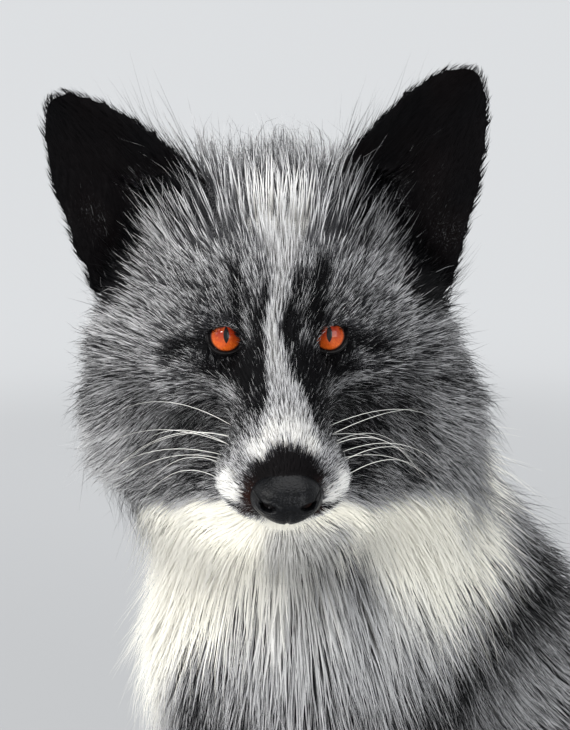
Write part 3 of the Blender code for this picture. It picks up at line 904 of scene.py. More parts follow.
# regions: each grows one piece of locks and one of guards
# locks are flat tufts that carry several strands, guards are single hairs over them
# region: locks (count, rings, width in mm, strands), guards (count, rings, width), size of a clump in mm,
# how far hairs draw together and how far they stray
regions = {
    "Muzzle": ((6200, 1, 0.42, 3), (8500, 1, 0.15), 2.5, 0.20, 0.10),
    "Face": ((8200, 1, 0.50, 4), (11300, 1, 0.155), 4.5, 0.26, 0.10),
    "Crown": ((4100, 2, 0.60, 6), (5500, 2, 0.14), 8.0, 0.32, 0.13),
    "CheekLeft": ((3700, 2, 0.74, 5), (5450, 2, 0.17), 9.0, 0.34, 0.12),
    "CheekRight": ((3700, 2, 0.74, 5), (5450, 2, 0.17), 9.0, 0.34, 0.12),
    "Ears": ((4600, 1, 0.46, 5), (4800, 1, 0.12), 3.0, 0.10, 0.12),
    "Throat": ((5600, 2, 0.98, 6), (6000, 2, 0.20), 13.0, 0.42, 0.08),
    "Shoulders": ((4200, 2, 1.30, 9), (3400, 2, 0.26), 15.0, 0.42, 0.10),
    "Trunk": ((4600, 2, 1.65, 9), (3000, 2, 0.32), 17.0, 0.42, 0.10),
    "Legs": ((4600, 1, 1.2, 7), (3200, 1, 0.28), 6.0, 0.25, 0.10),
    "Tail": ((3900, 2, 1.7, 9), (2600, 2, 0.33), 17.0, 0.42, 0.12),
}


# the last line that fits a point wins
def regionOfPoints():
    away = np.linalg.norm(spot - noseRoot, axis=1)
    region = np.full(len(coatPoints), "Trunk", dtype="U16")
    neck = (owner == "neck") | (owner == "chest")
    front = headCoords(coatPoints)[:, 1] > -0.085
    region[neck] = "Shoulders"
    region[neck & front & (coatPoints[:, 2] > 0.22)] = "Throat"
    region[isLeg | isPaw] = "Legs"
    region[isTail] = "Tail"
    cheek = isHead & (away > 0.115)
    region[cheek & (spot[:, 0] > 0)] = "CheekLeft"
    region[cheek & (spot[:, 0] <= 0)] = "CheekRight"
    region[isHead & (away > 0.115) & (spot[:, 2] > 0.030)] = "Crown"
    region[isHead & (spot[:, 1] < -0.085)] = "Crown"
    region[isHead & (away <= 0.115)] = "Face"
    region[isHead & (away <= 0.068)] = "Muzzle"
    region[isEar] = "Ears"
    return region


region = regionOfPoints()
regionNames = list(regions)


def firstCorners(mesh):
    starts = fieldOf(mesh.polygons, "loop_start", 1, np.int32)
    corners = fieldOf(mesh.loops, "vertex_index", 1, np.int32)
    return corners[starts], starts, corners


def addAttribute(mesh, name, kind, domain, values):
    attribute = mesh.attributes.new(name, kind, domain)
    field = {"FLOAT_VECTOR": "vector", "FLOAT": "value", "INT": "value", "FLOAT2": "vector"}[kind]
    values = np.ascontiguousarray(values, np.int32 if kind == "INT" else np.float32)
    attribute.data.foreach_set(field, values.ravel())


# points of the skin that are hidden behind an eyeball or the nose
def inOpening(points):
    fromNose = headCoords(points) - headCoords(middleOf("nose"))
    hidden = np.linalg.norm(fromNose / (0.0125, 0.0105, 0.0100), axis=1) < 1
    for side in ("left", "right"):
        hidden |= np.linalg.norm(points - middleOf(f"eye_{side}"), axis=1) < eyeForm["radius"] - 0.0001
    return hidden


def prepareSkin():
    mesh = skin.data
    first, _, _ = firstCorners(mesh)
    areas = fieldOf(mesh.polygons, "area").astype(float)
    faceRegion = np.array([regionNames.index(r) for r in region])[first]
    bare = inOpening(skinPoints)[first]
    lift = coatPoints[first, 2]
    weight = np.where(bare, 0.0, 1.0) * (0.25 + 0.75 * ramp(lift, 0.0, 0.01))
    # the share of its region's hairs on each square metre
    hairs = np.zeros(len(areas))
    for index in range(len(regionNames)):
        mine = faceRegion == index
        total = (areas * weight)[mine].sum()
        hairs[mine] = weight[mine] / max(total, 1e-9)
    addAttribute(mesh, "region", "INT", "FACE", faceRegion)
    addAttribute(mesh, "hairs", "FLOAT", "FACE", hairs)
    for label, way in (("bendWay", bendWay), ("tipWay", tipWay)):
        addAttribute(mesh, label, "FLOAT_VECTOR", "POINT", way)
    for label, tone in (("silver", silver), ("cream", cream), ("brown", brown)):
        addAttribute(mesh, label, "FLOAT", "POINT", tone)


# a map of the skin's own shape, made on a coarse copy and carried over face by face
def unwrapSkin():
    coarse = newObject("coarse", coatMesh.copy())
    remesh = coarse.modifiers.new("remesh", "REMESH")
    remesh.mode, remesh.voxel_size = "VOXEL", 0.009
    applyModifiers(coarse)
    bpy.context.view_layer.objects.active = coarse
    coarse.select_set(True)
    bpy.ops.object.mode_set(mode="EDIT")
    bpy.ops.mesh.select_all(action="SELECT")
    bpy.ops.mesh.quads_convert_to_tris()
    bpy.ops.uv.smart_project(angle_limit=math.radians(70), island_margin=0.004)
    bpy.ops.object.mode_set(mode="OBJECT")
    flat = coarse.data
    tree = BVHTree.FromPolygons(meshPoints(flat).tolist(), [tuple(p.vertices) for p in flat.polygons])
    triangles = fieldOf(flat.loops, "vertex_index", 3, np.int32)
    uv = fieldOf(flat.uv_layers.active.data, "uv", 2).reshape(-1, 3, 2)
    points = meshPoints(flat)
    mesh = skin.data
    _, starts, skinCorners = firstCorners(mesh)
    counts = np.diff(np.append(starts, len(skinCorners)))
    faceOfCorner = np.repeat(np.arange(len(starts)), counts)
    centres = np.add.reduceat(coatPoints[skinCorners], starts) / counts[:, None]
    nearest = np.array([tree.find_nearest(p)[2] for p in centres.tolist()])
    a, b, c = (points[triangles[nearest, k]][faceOfCorner] for k in range(3))
    p = coatPoints[skinCorners]
    v0, v1, v2 = b - a, c - a, p - a
    d00, d01, d11 = (v0 * v0).sum(1), (v0 * v1).sum(1), (v1 * v1).sum(1)
    d20, d21 = (v2 * v0).sum(1), (v2 * v1).sum(1)
    span = np.maximum(d00 * d11 - d01 * d01, 1e-18)
    share1 = (d11 * d20 - d01 * d21) / span
    share2 = (d00 * d21 - d01 * d20) / span
    tri = uv[nearest][faceOfCorner]
    flatUv = tri[:, 0] + share1[:, None] * (tri[:, 1] - tri[:, 0]) + share2[:, None] * (tri[:, 2] - tri[:, 0])
    flatUv = np.clip(flatUv * 0.98 + 0.01, 0.003, 0.997)
    addAttribute(mesh, "unwrap", "FLOAT_VECTOR", "CORNER", np.column_stack((flatUv, np.zeros(len(flatUv)))))
    bpy.data.objects.remove(coarse)


prepareSkin()
unwrapSkin()
print("skin prepared and unwrapped")

# materials and node trees


def newGroup(name, kind, inputs, outputs):
    group = bpy.data.node_groups.new(name, kind)
    for label, socket in inputs:
        group.interface.new_socket(name=label, in_out="INPUT", socket_type=socket)
    for label, socket in outputs:
        group.interface.new_socket(name=label, in_out="OUTPUT", socket_type=socket)
    return group


# short ways to add nodes to one tree. A value may be a number, a vector or another node's socket
class Wiring:
    def __init__(self, tree):
        self.tree = tree
        self.nodes = tree.nodes

    def put(self, socket, value):
        if isinstance(value, bpy.types.NodeSocket):
            self.tree.links.new(value, socket)
        elif value is not None:
            socket.default_value = value

    def add(self, kind, values=(), output=0, **settings):
        node = self.nodes.new(kind)
        for key, value in settings.items():
            setattr(node, key, value)
        pairs = values.items() if isinstance(values, dict) else enumerate(values)
        for key, value in pairs:
            self.put(node.inputs[key], value)
        return node if output is None else node.outputs[output]

    def math(self, operation, *values, clamp=False):
        return self.add("ShaderNodeMath", values, operation=operation, use_clamp=clamp)

    def vector(self, operation, *values, output=0):
        if operation == "SCALE":
            return self.add("ShaderNodeVectorMath", {0: values[0], "Scale": values[1]}, operation=operation)
        return self.add("ShaderNodeVectorMath", values, output, operation=operation)

    def ramp(self, value, low, high):
        return self.add("ShaderNodeMapRange", {0: value, 1: low, 2: high}, interpolation_type="SMOOTHSTEP")

    def mixColour(self, share, a, b, blend="MIX"):
        node = self.nodes.new("ShaderNodeMix")
        node.data_type, node.blend_type = "RGBA", blend
        self.put(node.inputs[0], share)
        self.put(node.inputs[6], a)
        self.put(node.inputs[7], b)
        return node.outputs[2]

    def mixNumber(self, share, a, b):
        return self.add("ShaderNodeMix", {0: share, 2: a, 3: b})

    def bump(self, shader, height, strength, distance):
        node = self.add("ShaderNodeBump", {"Strength": strength, "Distance": distance, "Height": height})
        self.put(shader.inputs["Normal"], node)


hairColours = {
    "white": (0.95, 0.945, 0.93, 1),
    "cream": (0.95, 0.915, 0.78, 1),
    "silver": (0.50, 0.50, 0.505, 1),
    "smoke": (0.020, 0.020, 0.022, 1),
    "whiteRoot": (0.86, 0.83, 0.77, 1),
    "underfur": (0.050, 0.050, 0.054, 1),
    "black": (0.0024, 0.0024, 0.0029, 1),
    "brown": (0.022, 0.0085, 0.006, 1),
}


# colour of a hair from the markings under it, the kind of hair it is and the way along it
def markingGroup():
    names = ("silver", "cream", "brown", "pick", "along", "blur")
    group = newGroup(
        "foxHairColour",
        "ShaderNodeTree",
        [(n, "NodeSocketFloat") for n in names],
        [("Colour", "NodeSocketColor"), ("Light", "NodeSocketFloat")],
    )
    w = Wiring(group)
    inputs = w.add("NodeGroupInput", output=None)
    silverIn, creamIn, brownIn, pickIn, alongIn, blurIn = (inputs.outputs[n] for n in names)
    gain = w.math("MULTIPLY_ADD", blurIn, 2.0, 1.0)
    share = w.math("MULTIPLY_ADD", silverIn, gain, w.math("MULTIPLY", blurIn, -1.0))
    share = w.math("SUBTRACT", share, pickIn)
    light = w.ramp(share, w.math("MULTIPLY", blurIn, -1.0), blurIn)
    pure = w.ramp(silverIn, 0.78, 0.97)
    fresh = w.mixColour(creamIn, hairColours["white"], hairColours["cream"])
    fresh = w.mixColour(w.ramp(silverIn, 0.80, 1.0), hairColours["silver"], fresh)
    # hair is darker towards the root: partly the dark underfur and dark bases it has, partly painted shade
    # that deepens the coat
    root = w.mixColour(pure, hairColours["underfur"], hairColours["whiteRoot"])
    towardsTip = w.ramp(alongIn, w.mixNumber(pure, 0.30, -0.1), w.mixNumber(pure, 0.72, 0.5))
    pale = w.mixColour(towardsTip, root, fresh)
    dark = w.mixColour(w.ramp(silverIn, 0.15, 0.60), hairColours["black"], hairColours["smoke"])
    dark = w.mixColour(brownIn, dark, hairColours["brown"])
    colour = w.mixColour(light, dark, pale)
    scatter = w.math("FRACT", w.math("MULTIPLY", pickIn, 17.3))
    colour = w.mixColour(1.0, colour, w.mixNumber(scatter, w.mixNumber(pure, 0.82, 0.98), 1.0), "MULTIPLY")
    result = w.add("NodeGroupOutput", output=None)
    w.put(result.inputs["Colour"], colour)
    w.put(result.inputs["Light"], light)
    return group


# the kind of hair, 0 to 1, for each strand drawn across a lock
def strandGroup():
    names = ("pick", "along", "across", "strands")
    group = newGroup(
        "foxStrands", "ShaderNodeTree", [(n, "NodeSocketFloat") for n in names], [("Pick", "NodeSocketFloat")]
    )
    w = Wiring(group)
    inputs = w.add("NodeGroupInput", output=None)
    pickIn, alongIn, acrossIn, strandsIn = (inputs.outputs[n] for n in names)
    sideways = w.math("MULTIPLY_ADD", acrossIn, strandsIn, w.math("MULTIPLY", pickIn, 53.0))
    place = w.add(
        "ShaderNodeCombineXYZ", (sideways, w.math("MULTIPLY", alongIn, 1.4), w.math("MULTIPLY", pickIn, 91.0))
    )
    grain = w.add("ShaderNodeTexNoise", {"Vector": place, "Scale": 1.0, "Detail": 1.5})
    result = w.add("NodeGroupOutput", output=None)
    w.put(result.inputs["Pick"], w.ramp(grain, 0.28, 0.72))
    return group


hairColourGroup = markingGroup()
strandPickGroup = strandGroup()


def newMaterial(name):
    material = bpy.data.materials.new(name)
    material.use_nodes = True
    w = Wiring(material.node_tree)
    shader = material.node_tree.nodes["Principled BSDF"]
    return material, w, shader


def attributeSockets(w, *names):
    return [w.add("ShaderNodeAttribute", output="Fac", attribute_name=n) for n in names]


def coatMaterial():
    material, w, shader = newMaterial("coatHair")
    *values, pickIn, alongIn, acrossIn, strandsIn = attributeSockets(
        w, "silver", "cream", "brown", "pick", "along", "across", "strands"
    )
    picked = w.add("ShaderNodeGroup", (pickIn, alongIn, acrossIn, strandsIn), node_tree=strandPickGroup)
    # single hairs are light or dark, and the strands of a lock less so
    values += [picked, alongIn, w.mixNumber(w.ramp(strandsIn, 0.0, 2.5), 0.05, 0.12)]
    look = w.add("ShaderNodeGroup", output=None, node_tree=hairColourGroup)
    for socket, value in zip(look.inputs, values, strict=True):
        w.put(socket, value)
    w.put(shader.inputs["Base Color"], look.outputs["Colour"])
    w.put(shader.inputs["Roughness"], w.mixNumber(look.outputs["Light"], 0.52, 0.68))
    shader.inputs["Specular IOR Level"].default_value = 0.055
    # white hair is soft, with sheen; a faint glow in its own colour is painted light, standing in for light
    # scattered through it and lifting the shade between the locks
    white = w.ramp(values[0], 0.86, 1.0)
    w.put(shader.inputs["Sheen Weight"], w.math("MULTIPLY", white, 0.35))
    shader.inputs["Sheen Roughness"].default_value = 0.6
    # painted light: the white hair glows faintly in its own colour
    w.put(shader.inputs["Emission Color"], w.mixColour(white, (0, 0, 0, 1), look.outputs["Colour"]))
    shader.inputs["Emission Strength"].default_value = 0.06
    return material


def skinMaterial():
    material, w, shader = newMaterial("skinUnderCoat")
    place = w.add("ShaderNodeTexCoord", output="Object")
    fine = w.add("ShaderNodeTexNoise", {"Vector": place, "Scale": 1400, "Detail": 2})
    speck = w.ramp(fine, 0.35, 0.65)
    values = attributeSockets(w, "silver", "cream", "brown")
    look = w.add("ShaderNodeGroup", output=None, node_tree=hairColourGroup)
    for socket, value in zip(look.inputs, [*values, speck, 0.42, 0.12], strict=True):
        w.put(socket, value)
    w.put(shader.inputs["Base Color"], look.outputs["Colour"])
    w.bump(shader, fine, 0.6, 0.0006)
    shader.inputs["Roughness"].default_value = 0.75
    shader.inputs["Specular IOR Level"].default_value = 0.1
    return material


hairMaterial = coatMaterial()
skin.data.materials.append(skinMaterial())
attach(skin, "root")
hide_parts(*skinParts)

# one hair: a thin closed spike, three-sided
def hairMesh(rings, thick):
    stops = {1: (0.0, 0.45), 2: (0.0, 0.34, 0.70)}[rings]
    girths = {1: (0.75, 1.0), 2: (0.70, 1.0, 0.74)}[rings]
    corners = ((-0.5, 0.0), (0.5, 0.0), (0.0, thick))
    verts, along = [], []
    for t, girth in zip(stops, girths, strict=True):
        for x, y in corners:
            verts.append((x * girth, y * girth, t))
            along.append(t)
    verts.append((0, 0, 1))
    along.append(1)
    faces = [(2, 1, 0)]
    patches = [[(0.35, 0.0), (0.65, 0.0), (0.5, 0.08)]]
    tip = len(verts) - 1
    for i in range(len(stops) - 1):
        for k in range(3):
            a, b = i * 3 + k, i * 3 + (k + 1) % 3
            faces.append((a, b, b + 3, a + 3))
            low, high = 0.1 + 0.9 * stops[i], 0.1 + 0.9 * stops[i + 1]
            patches.append([(k / 3, low), ((k + 1) / 3, low), ((k + 1) / 3, high), (k / 3, high)])
    last = (len(stops) - 1) * 3
    for k in range(3):
        faces.append((last + k, last + (k + 1) % 3, tip))
        low = 0.1 + 0.9 * stops[-1]
        patches.append([(k / 3, low), ((k + 1) / 3, low), ((k + 0.5) / 3, 1.0)])
    mesh = bpy.data.meshes.new("hair")
    mesh.from_pydata(verts, [], faces)
    mesh.update()
    addAttribute(mesh, "along", "FLOAT", "POINT", along)
    addAttribute(mesh, "across", "FLOAT", "POINT", [v[0] for v in verts])
    addAttribute(mesh, "proud", "FLOAT", "POINT", [v[1] for v in verts])
    addAttribute(mesh, "OFBake", "FLOAT2", "CORNER", [uv for patch in patches for uv in patch])
    return bpy.data.objects.new("hair", mesh)


# the coat's tree: its inputs, and ways to read, keep and draw lots for a value
class CoatWiring(Wiring):
    def __init__(self, tree):
        super().__init__(tree)
        self.given = self.add("NodeGroupInput", output=None).outputs

    def named(self, name, kind="FLOAT"):
        return self.add("GeometryNodeInputNamedAttribute", {"Name": name}, data_type=kind)

    def way(self, name):
        return self.named(name, "FLOAT_VECTOR")

    def store(self, geometry, name, value, kind="FLOAT", domain="POINT"):
        values = {"Geometry": geometry, "Name": name, "Value": value}
        return self.add("GeometryNodeStoreNamedAttribute", values, data_type=kind, domain=domain)

    def chance(self, low, high, seed, kind="FLOAT"):
        ownSeed = self.math("ADD", self.given["Seed"], seed)
        node = self.add("FunctionNodeRandomValue", {"Seed": ownSeed}, None, data_type=kind)
        first = 0 if kind == "FLOAT_VECTOR" else 2
        node.inputs[first].default_value, node.inputs[first + 1].default_value = low, high
        return node.outputs[0 if kind == "FLOAT_VECTOR" else 1]


# roots over one region, each with what its hair needs to know
def scatterRoots(w):
    given = w.given
    mine = w.add(
        "FunctionNodeCompare",
        {2: w.named("region", "INT"), 3: given["Region"]},
        data_type="INT",
        operation="EQUAL",
    )
    density = w.math("MULTIPLY", w.named("hairs"), given["Count"])
    roots = w.add(
        "GeometryNodeDistributePointsOnFaces",
        {"Mesh": given["Skin"], "Selection": mine, "Density": density, "Seed": given["Seed"]},
        None,
    )
    points = roots.outputs["Points"]
    position = w.add("GeometryNodeInputPosition")
    inClumps = w.vector("DIVIDE", position, given["Lock"])
    cell = w.add("ShaderNodeTexVoronoi", {"Vector": inClumps, "Scale": 1.0}, None)
    centre = w.vector("MULTIPLY", cell.outputs["Position"], given["Lock"])
    pull = w.vector("SCALE", w.vector("SUBTRACT", centre, position), given["Draw"])
    points = w.store(points, "root", position, "FLOAT_VECTOR")
    points = w.store(points, "pull", pull, "FLOAT_VECTOR")
    points = w.store(points, "facing", roots.outputs["Normal"], "FLOAT_VECTOR")
    points = w.store(points, "pick", w.chance(0.0, 1.0, 11))
    points = w.store(points, "reach", w.chance(0.0, 1.0, 23))
    points = w.store(points, "stray", w.chance((-1, -1, -1), (1, 1, 1), 37, "FLOAT_VECTOR"), "FLOAT_VECTOR")
    return points


# where every point of every hair goes: a curve from its root to tipWay, bent towards bendWay
def hairPlaces(w):
    given = w.given
    along, bend, tip = w.named("along"), w.way("bendWay"), w.way("tipWay")
    reach = w.mixNumber(w.named("reach"), given["Shortest"], given["Longest"])
    t = w.math("MULTIPLY", along, reach)
    rest = w.math("SUBTRACT", 1.0, t)
    squared = w.math("MULTIPLY", t, t)
    length = w.vector("LENGTH", tip, output="Value")
    strayBy = w.math("MULTIPLY", length, given["Stray"])
    astray = w.vector("SCALE", w.way("stray"), strayBy)
    astray = w.vector("ADD", astray, w.way("pull"))
    end = w.vector("ADD", tip, astray)
    first = w.vector("SCALE", bend, w.math("MULTIPLY", 2.0, w.math("MULTIPLY", t, rest)))
    curve = w.vector("ADD", first, w.vector("SCALE", end, squared))
    slope = w.vector(
        "ADD",
        w.vector("SCALE", bend, w.math("SUBTRACT", 1.0, w.math("MULTIPLY", 2.0, t))),
        w.vector("SCALE", end, t),
    )
    heading = w.vector("NORMALIZE", slope)
    aside = w.vector("NORMALIZE", w.vector("CROSS_PRODUCT", w.way("facing"), heading))
    above = w.vector("CROSS_PRODUCT", heading, aside)
    girth = w.math("MULTIPLY", given["Width"], w.mixNumber(w.named("reach"), 0.75, 1.15))
    sideways = w.vector("SCALE", aside, w.math("MULTIPLY", w.named("across"), girth))
    upward = w.vector("SCALE", above, w.math("MULTIPLY", w.named("proud"), girth))
    place = w.vector("ADD", w.way("root"), curve)
    place = w.vector("ADD", place, w.vector("ADD", sideways, upward))
    # nothing goes through the floor
    at = w.add("ShaderNodeSeparateXYZ", (place,), None).outputs
    height = w.math("MAXIMUM", at["Z"], w.math("MULTIPLY_ADD", at["Z"], 0.06, 0.0014))
    return w.add("ShaderNodeCombineXYZ", (at["X"], at["Y"], height))


def coatGrower():
    kinds = {"Skin": "Geometry", "Hair": "Object", "Region": "Int"}
    numbers = ("Width", "Lock", "Draw", "Stray", "Shortest", "Longest", "Count", "Strands", "Patch")
    kinds |= {name: "Float" for name in numbers} | {"Material": "Material", "Seed": "Int"}
    inputs = [(name, f"NodeSocket{kind}") for name, kind in kinds.items()]
    tree = newGroup("growCoat", "GeometryNodeTree", inputs, [("Coat", "NodeSocketGeometry")])
    w = CoatWiring(tree)
    given = w.given
    points = scatterRoots(w)
    hair = w.add("GeometryNodeObjectInfo", {"Object": given["Hair"]}, "Geometry")
    placed = w.add("GeometryNodeInstanceOnPoints", {"Points": points, "Instance": hair})
    coat = w.add("GeometryNodeRealizeInstances", {"Geometry": placed})
    coat = w.add("GeometryNodeSetPosition", {"Geometry": coat, "Position": hairPlaces(w)})
    patch = w.vector("SUBTRACT", w.way("OFBake"), (0.5, 0.5, 0))
    patch = w.vector("SCALE", patch, given["Patch"])
    unwrapped = w.vector("ADD", w.way("unwrap"), patch)
    coat = w.store(coat, "OFBake", unwrapped, "FLOAT2", "CORNER")
    coat = w.store(coat, "strands", given["Strands"])
    coat = w.add("GeometryNodeSetMaterial", {"Geometry": coat, "Material": given["Material"]})
    result = w.add("NodeGroupOutput", output=None)
    w.put(result.inputs[0], coat)
    return tree


growCoat = coatGrower()


def setInputs(modifier, values):
    for item in modifier.node_group.interface.items_tree:
        if item.in_out == "INPUT" and item.name in values:
            modifier[item.identifier] = values[item.name]


coatSoftness = 0.72
# values that only the growing needs
scaffold = ("root", "pull", "facing", "reach", "stray", "proud", "bendWay", "tipWay", "hairs", "unwrap")


# hairs are lit mostly as the coat's surface is, which keeps it soft
def softenNormals(mesh):
    facing = fieldOf(mesh.attributes["facing"].data, "vector", 3)
    pale = fieldOf(mesh.attributes["silver"].data, "value")
    share = coatSoftness + (1 - coatSoftness) * ramp(pale, 0.75, 1.0)
    normals = unit(mixed(meshNormals(mesh), facing, share[:, None]))
    mesh.normals_split_custom_set_from_vertices(normals.tolist())


def growPiece(name, index, kind):
    locks, guards, clump, draw, stray = regions[name]
    lock = kind == "locks"
    count, rings, width, *strands = locks if lock else guards
    piece = newObject(f"{kind}{name}", skin.data.copy())
    grow = piece.modifiers.new("grow", "NODES")
    grow.node_group = growCoat
    setInputs(
        grow,
        {
            "Hair": hairMesh(rings, 0.22 if lock else 0.7),
            "Region": index,
            "Count": float(count),
            "Width": width / 1000,
            "Strands": float(strands[0]) if lock else 0.0,
            "Lock": clump / 1000,
            "Draw": draw,
            "Stray": stray * (1.0 if lock else 1.7),
            "Shortest": 0.62 if lock else 0.66,
            "Longest": 0.92 if lock else 1.22,
            "Patch": 0.003,
            "Material": hairMaterial,
            "Seed": 100 + index + (0 if lock else 50),
        },
    )
    old = piece.data
    applyModifiers(piece)
    bpy.data.meshes.remove(old)
    mesh = piece.data
    mesh.shade_smooth()
    softenNormals(mesh)
    for unused in scaffold:
        if unused in mesh.attributes:
            mesh.attributes.remove(mesh.attributes[unused])
    mesh.name = piece.name
    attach(piece, "root")
    print(piece.name, sum(len(p.vertices) - 2 for p in mesh.polygons), "triangles")


for index, name in enumerate(regions):
    for kind in ("locks", "guards"):
        growPiece(name, index, kind)

# eyes: glass balls with a slit pupil, and black wet rims
irisForm = {"iris": 0.0063, "pupilWide": 0.00125, "pupilHigh": 0.0036, "bulge": 0.035}
ballRadius = eyeForm["radius"] - 0.0001


# a point over the eyeball, given across and above its middle, this far out from its centre
def onEye(centre, axes, across, above, out):
    ahead = math.sqrt(max(out * out - across * across - above * above, 0))
    return centre + np.array((across, above, ahead)) @ axes


def makeEyeball(side, sign):
    centre, axes = middleOf(f"eye_{side}"), eyeAxes(sign)
    rings, around = 56, 72
    verts, faces, local = [], [], []
    for i in range(1, rings):
        angle = math.pi * i / rings
        swell = max(0, 1 - (angle / math.radians(44)) ** 2) ** 2 * irisForm["bulge"]
        radius = ballRadius * (1 + swell)
        for j in range(around):
            a = 2 * math.pi * j / around
            out = math.sin(angle)
            p = np.array((out * math.cos(a), out * math.sin(a), math.cos(angle))) * radius
            verts.append(centre + p @ axes)
            local.append(p)
    front = np.array((0, 0, ballRadius * (1 + irisForm["bulge"])))
    back = np.array((0, 0, -ballRadius))
    verts += [centre + front @ axes, centre + back @ axes]
    local += [front, back]
    last = (rings - 2) * around
    for j in range(around):
        k = (j + 1) % around
        for i in range(rings - 2):
            faces.append((i * around + j, (i + 1) * around + j, (i + 1) * around + k, i * around + k))
        faces.append((len(verts) - 2, j, k))
        faces.append((len(verts) - 1, last + k, last + j))
    if np.linalg.det(axes) < 0:
        faces = [tuple(reversed(f)) for f in faces]
    ball = makeObject(f"eyeball{side.capitalize()}", verts, faces)
    addAttribute(ball.data, "eyePlace", "FLOAT_VECTOR", "POINT", np.array(local) * 1000)
    ball.data.materials.append(eyeMaterial)
    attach(ball, "root")
    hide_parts(f"eye_{side}")


# a black wet rim all round the opening, thicker above
def makeLidRim(side, sign):
    centre, axes = middleOf(f"eye_{side}"), eyeAxes(sign)
    steps, sides = 72, 8
    line = []
    for i in range(steps):
        a = 2 * math.pi * i / steps
        outward = math.cos(a)
        top, bottom = lidLine(outward)
        above = float(top if math.sin(a) >= 0 else bottom)
        across = outward * sign * eyeForm["halfWide"]
        line.append(onEye(centre, axes, across, above, eyeForm["radius"] + 0.0003))
    line = np.array(line)
    for _ in range(2):
        line = (line + 0.5 * (np.roll(line, 1, 0) + np.roll(line, -1, 0))) / 2
    verts, faces = [], []
    for i, p in enumerate(line):
        ahead = unit(line[(i + 1) % steps] - line[i - 1])
        out = unit(p - centre)
        beside = np.cross(ahead, out)
        thick = 0.00085 + 0.00025 * max(0, math.sin(2 * math.pi * i / steps))
        for j in range(sides):
            a = 2 * math.pi * j / sides
            verts.append(p + (out * math.cos(a) + beside * math.sin(a)) * thick)
    for i in range(steps):
        for j in range(sides):
            k = (j + 1) % sides
            m = (i + 1) % steps
            faces.append((i * sides + j, m * sides + j, m * sides + k, i * sides + k))
    return verts, faces


def fixFaces(obj):
    bm = bmesh.new()
    bm.from_mesh(obj.data)
    bmesh.ops.recalc_face_normals(bm, faces=bm.faces)
    bm.to_mesh(obj.data)
    bm.free()


def makeEyeMaterial():
    material, w, shader = newMaterial("foxEye")
    place = w.add("ShaderNodeAttribute", output="Vector", attribute_name="eyePlace")
    split = w.add("ShaderNodeSeparateXYZ", (place,), None)
    x, y, z = (split.outputs[k] for k in "XYZ")
    radius = w.math("SQRT", w.math("ADD", w.math("MULTIPLY", x, x), w.math("MULTIPLY", y, y)))
    angle = w.math("ARCTAN2", y, x)
    # fibres that run out from the pupil
    sine, cosine = w.math("SINE", angle), w.math("COSINE", angle)
    fibre = w.add(
        "ShaderNodeTexNoise",
        {
            "Vector": w.add("ShaderNodeCombineXYZ", (sine, cosine, w.math("MULTIPLY", radius, 0.10))),
            "Scale": 9.0,
            "Detail": 4.0,
            "Roughness": 0.65,
        },
    )
    cloud = w.add("ShaderNodeTexNoise", {"Vector": place, "Scale": 0.55, "Detail": 2.0})
    # painted shadow: the iris is darker towards the top, where the upper lid shades it
    low = w.ramp(y, 1.5, -5.5)
    orange = w.mixColour(low, (0.27, 0.020, 0.004, 1), (0.64, 0.105, 0.011, 1))
    edge = w.ramp(radius, 3.6, 6.1)
    orange = w.mixColour(w.math("MULTIPLY", edge, 0.55), orange, (0.68, 0.125, 0.014, 1))
    orange = w.mixColour(w.math("MULTIPLY", w.ramp(fibre, 0.35, 0.68), 0.55), orange, (0.25, 0.022, 0.004, 1))
    orange = w.mixColour(w.math("MULTIPLY", w.ramp(cloud, 0.5, 0.75), 0.25), orange, (0.74, 0.21, 0.03, 1))
    ring = w.ramp(radius, irisForm["iris"] * 1000 - 0.8, irisForm["iris"] * 1000 + 0.25)
    colour = w.mixColour(ring, orange, (0.004, 0.003, 0.003, 1))
    white = w.ramp(radius, 8.2, 9.2)
    colour = w.mixColour(white, colour, (0.05, 0.030, 0.022, 1))
    # the pupil is a tall slit, pointed at both ends
    rise = w.math("DIVIDE", w.math("SUBTRACT", y, 0.5), irisForm["pupilHigh"] * 1000)
    span = w.math("SUBTRACT", 1.0, w.math("MULTIPLY", rise, rise), clamp=True)
    half = w.math("MULTIPLY", w.math("POWER", span, 0.8), irisForm["pupilWide"] * 1000)
    pupil = w.ramp(w.math("SUBTRACT", half, w.math("ABSOLUTE", x)), -0.10, 0.16)
    pupil = w.math("MULTIPLY", pupil, w.ramp(z, 0.0, 1.0))
    colour = w.mixColour(pupil, colour, (0.001, 0.001, 0.001, 1))
    w.put(shader.inputs["Base Color"], colour)
    shader.inputs["Roughness"].default_value = 0.45
    shader.inputs["Specular IOR Level"].default_value = 0.1
    shader.inputs["Coat Weight"].default_value = 1.0
    shader.inputs["Coat Roughness"].default_value = 0.04
    shader.inputs["Coat IOR"].default_value = 1.36
    return material


def makeBlackSkinMaterial():
    material, w, shader = newMaterial("blackRim")
    place = w.add("ShaderNodeTexCoord", output="Object")
    grain = w.add("ShaderNodeTexNoise", {"Vector": place, "Scale": 2200, "Detail": 2})
    black = w.mixColour(grain, (0.0018, 0.0016, 0.0016, 1), (0.006, 0.005, 0.005, 1))
    w.put(shader.inputs["Base Color"], black)
    w.bump(shader, grain, 0.5, 0.0002)
    shader.inputs["Roughness"].default_value = 0.36
    shader.inputs["Specular IOR Level"].default_value = 0.22
    return material


eyeMaterial = makeEyeMaterial()
rimMaterial = makeBlackSkinMaterial()
for side, sign in (("left", 1), ("right", -1)):
    makeEyeball(side, sign)
    rim = makeObject(f"lidRim{side.capitalize()}", *makeLidRim(side, sign))
    fixFaces(rim)
    rim.data.materials.append(rimMaterial)
    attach(rim, "root")
print("eyes and lids made")

# nose leather
noseForm = {
    "radii": (0.0141, 0.0118, 0.0104),
    "nostril": (0.54, 0.06),  # across and up, as shares of the radii
    "nostrilSize": (0.21, 0.17),
    "slitEnd": (0.98, 0.42),
    "nostrilDeep": 0.0055,
    "slitDeep": 0.0022,
    "grooveDeep": 0.0011,
}


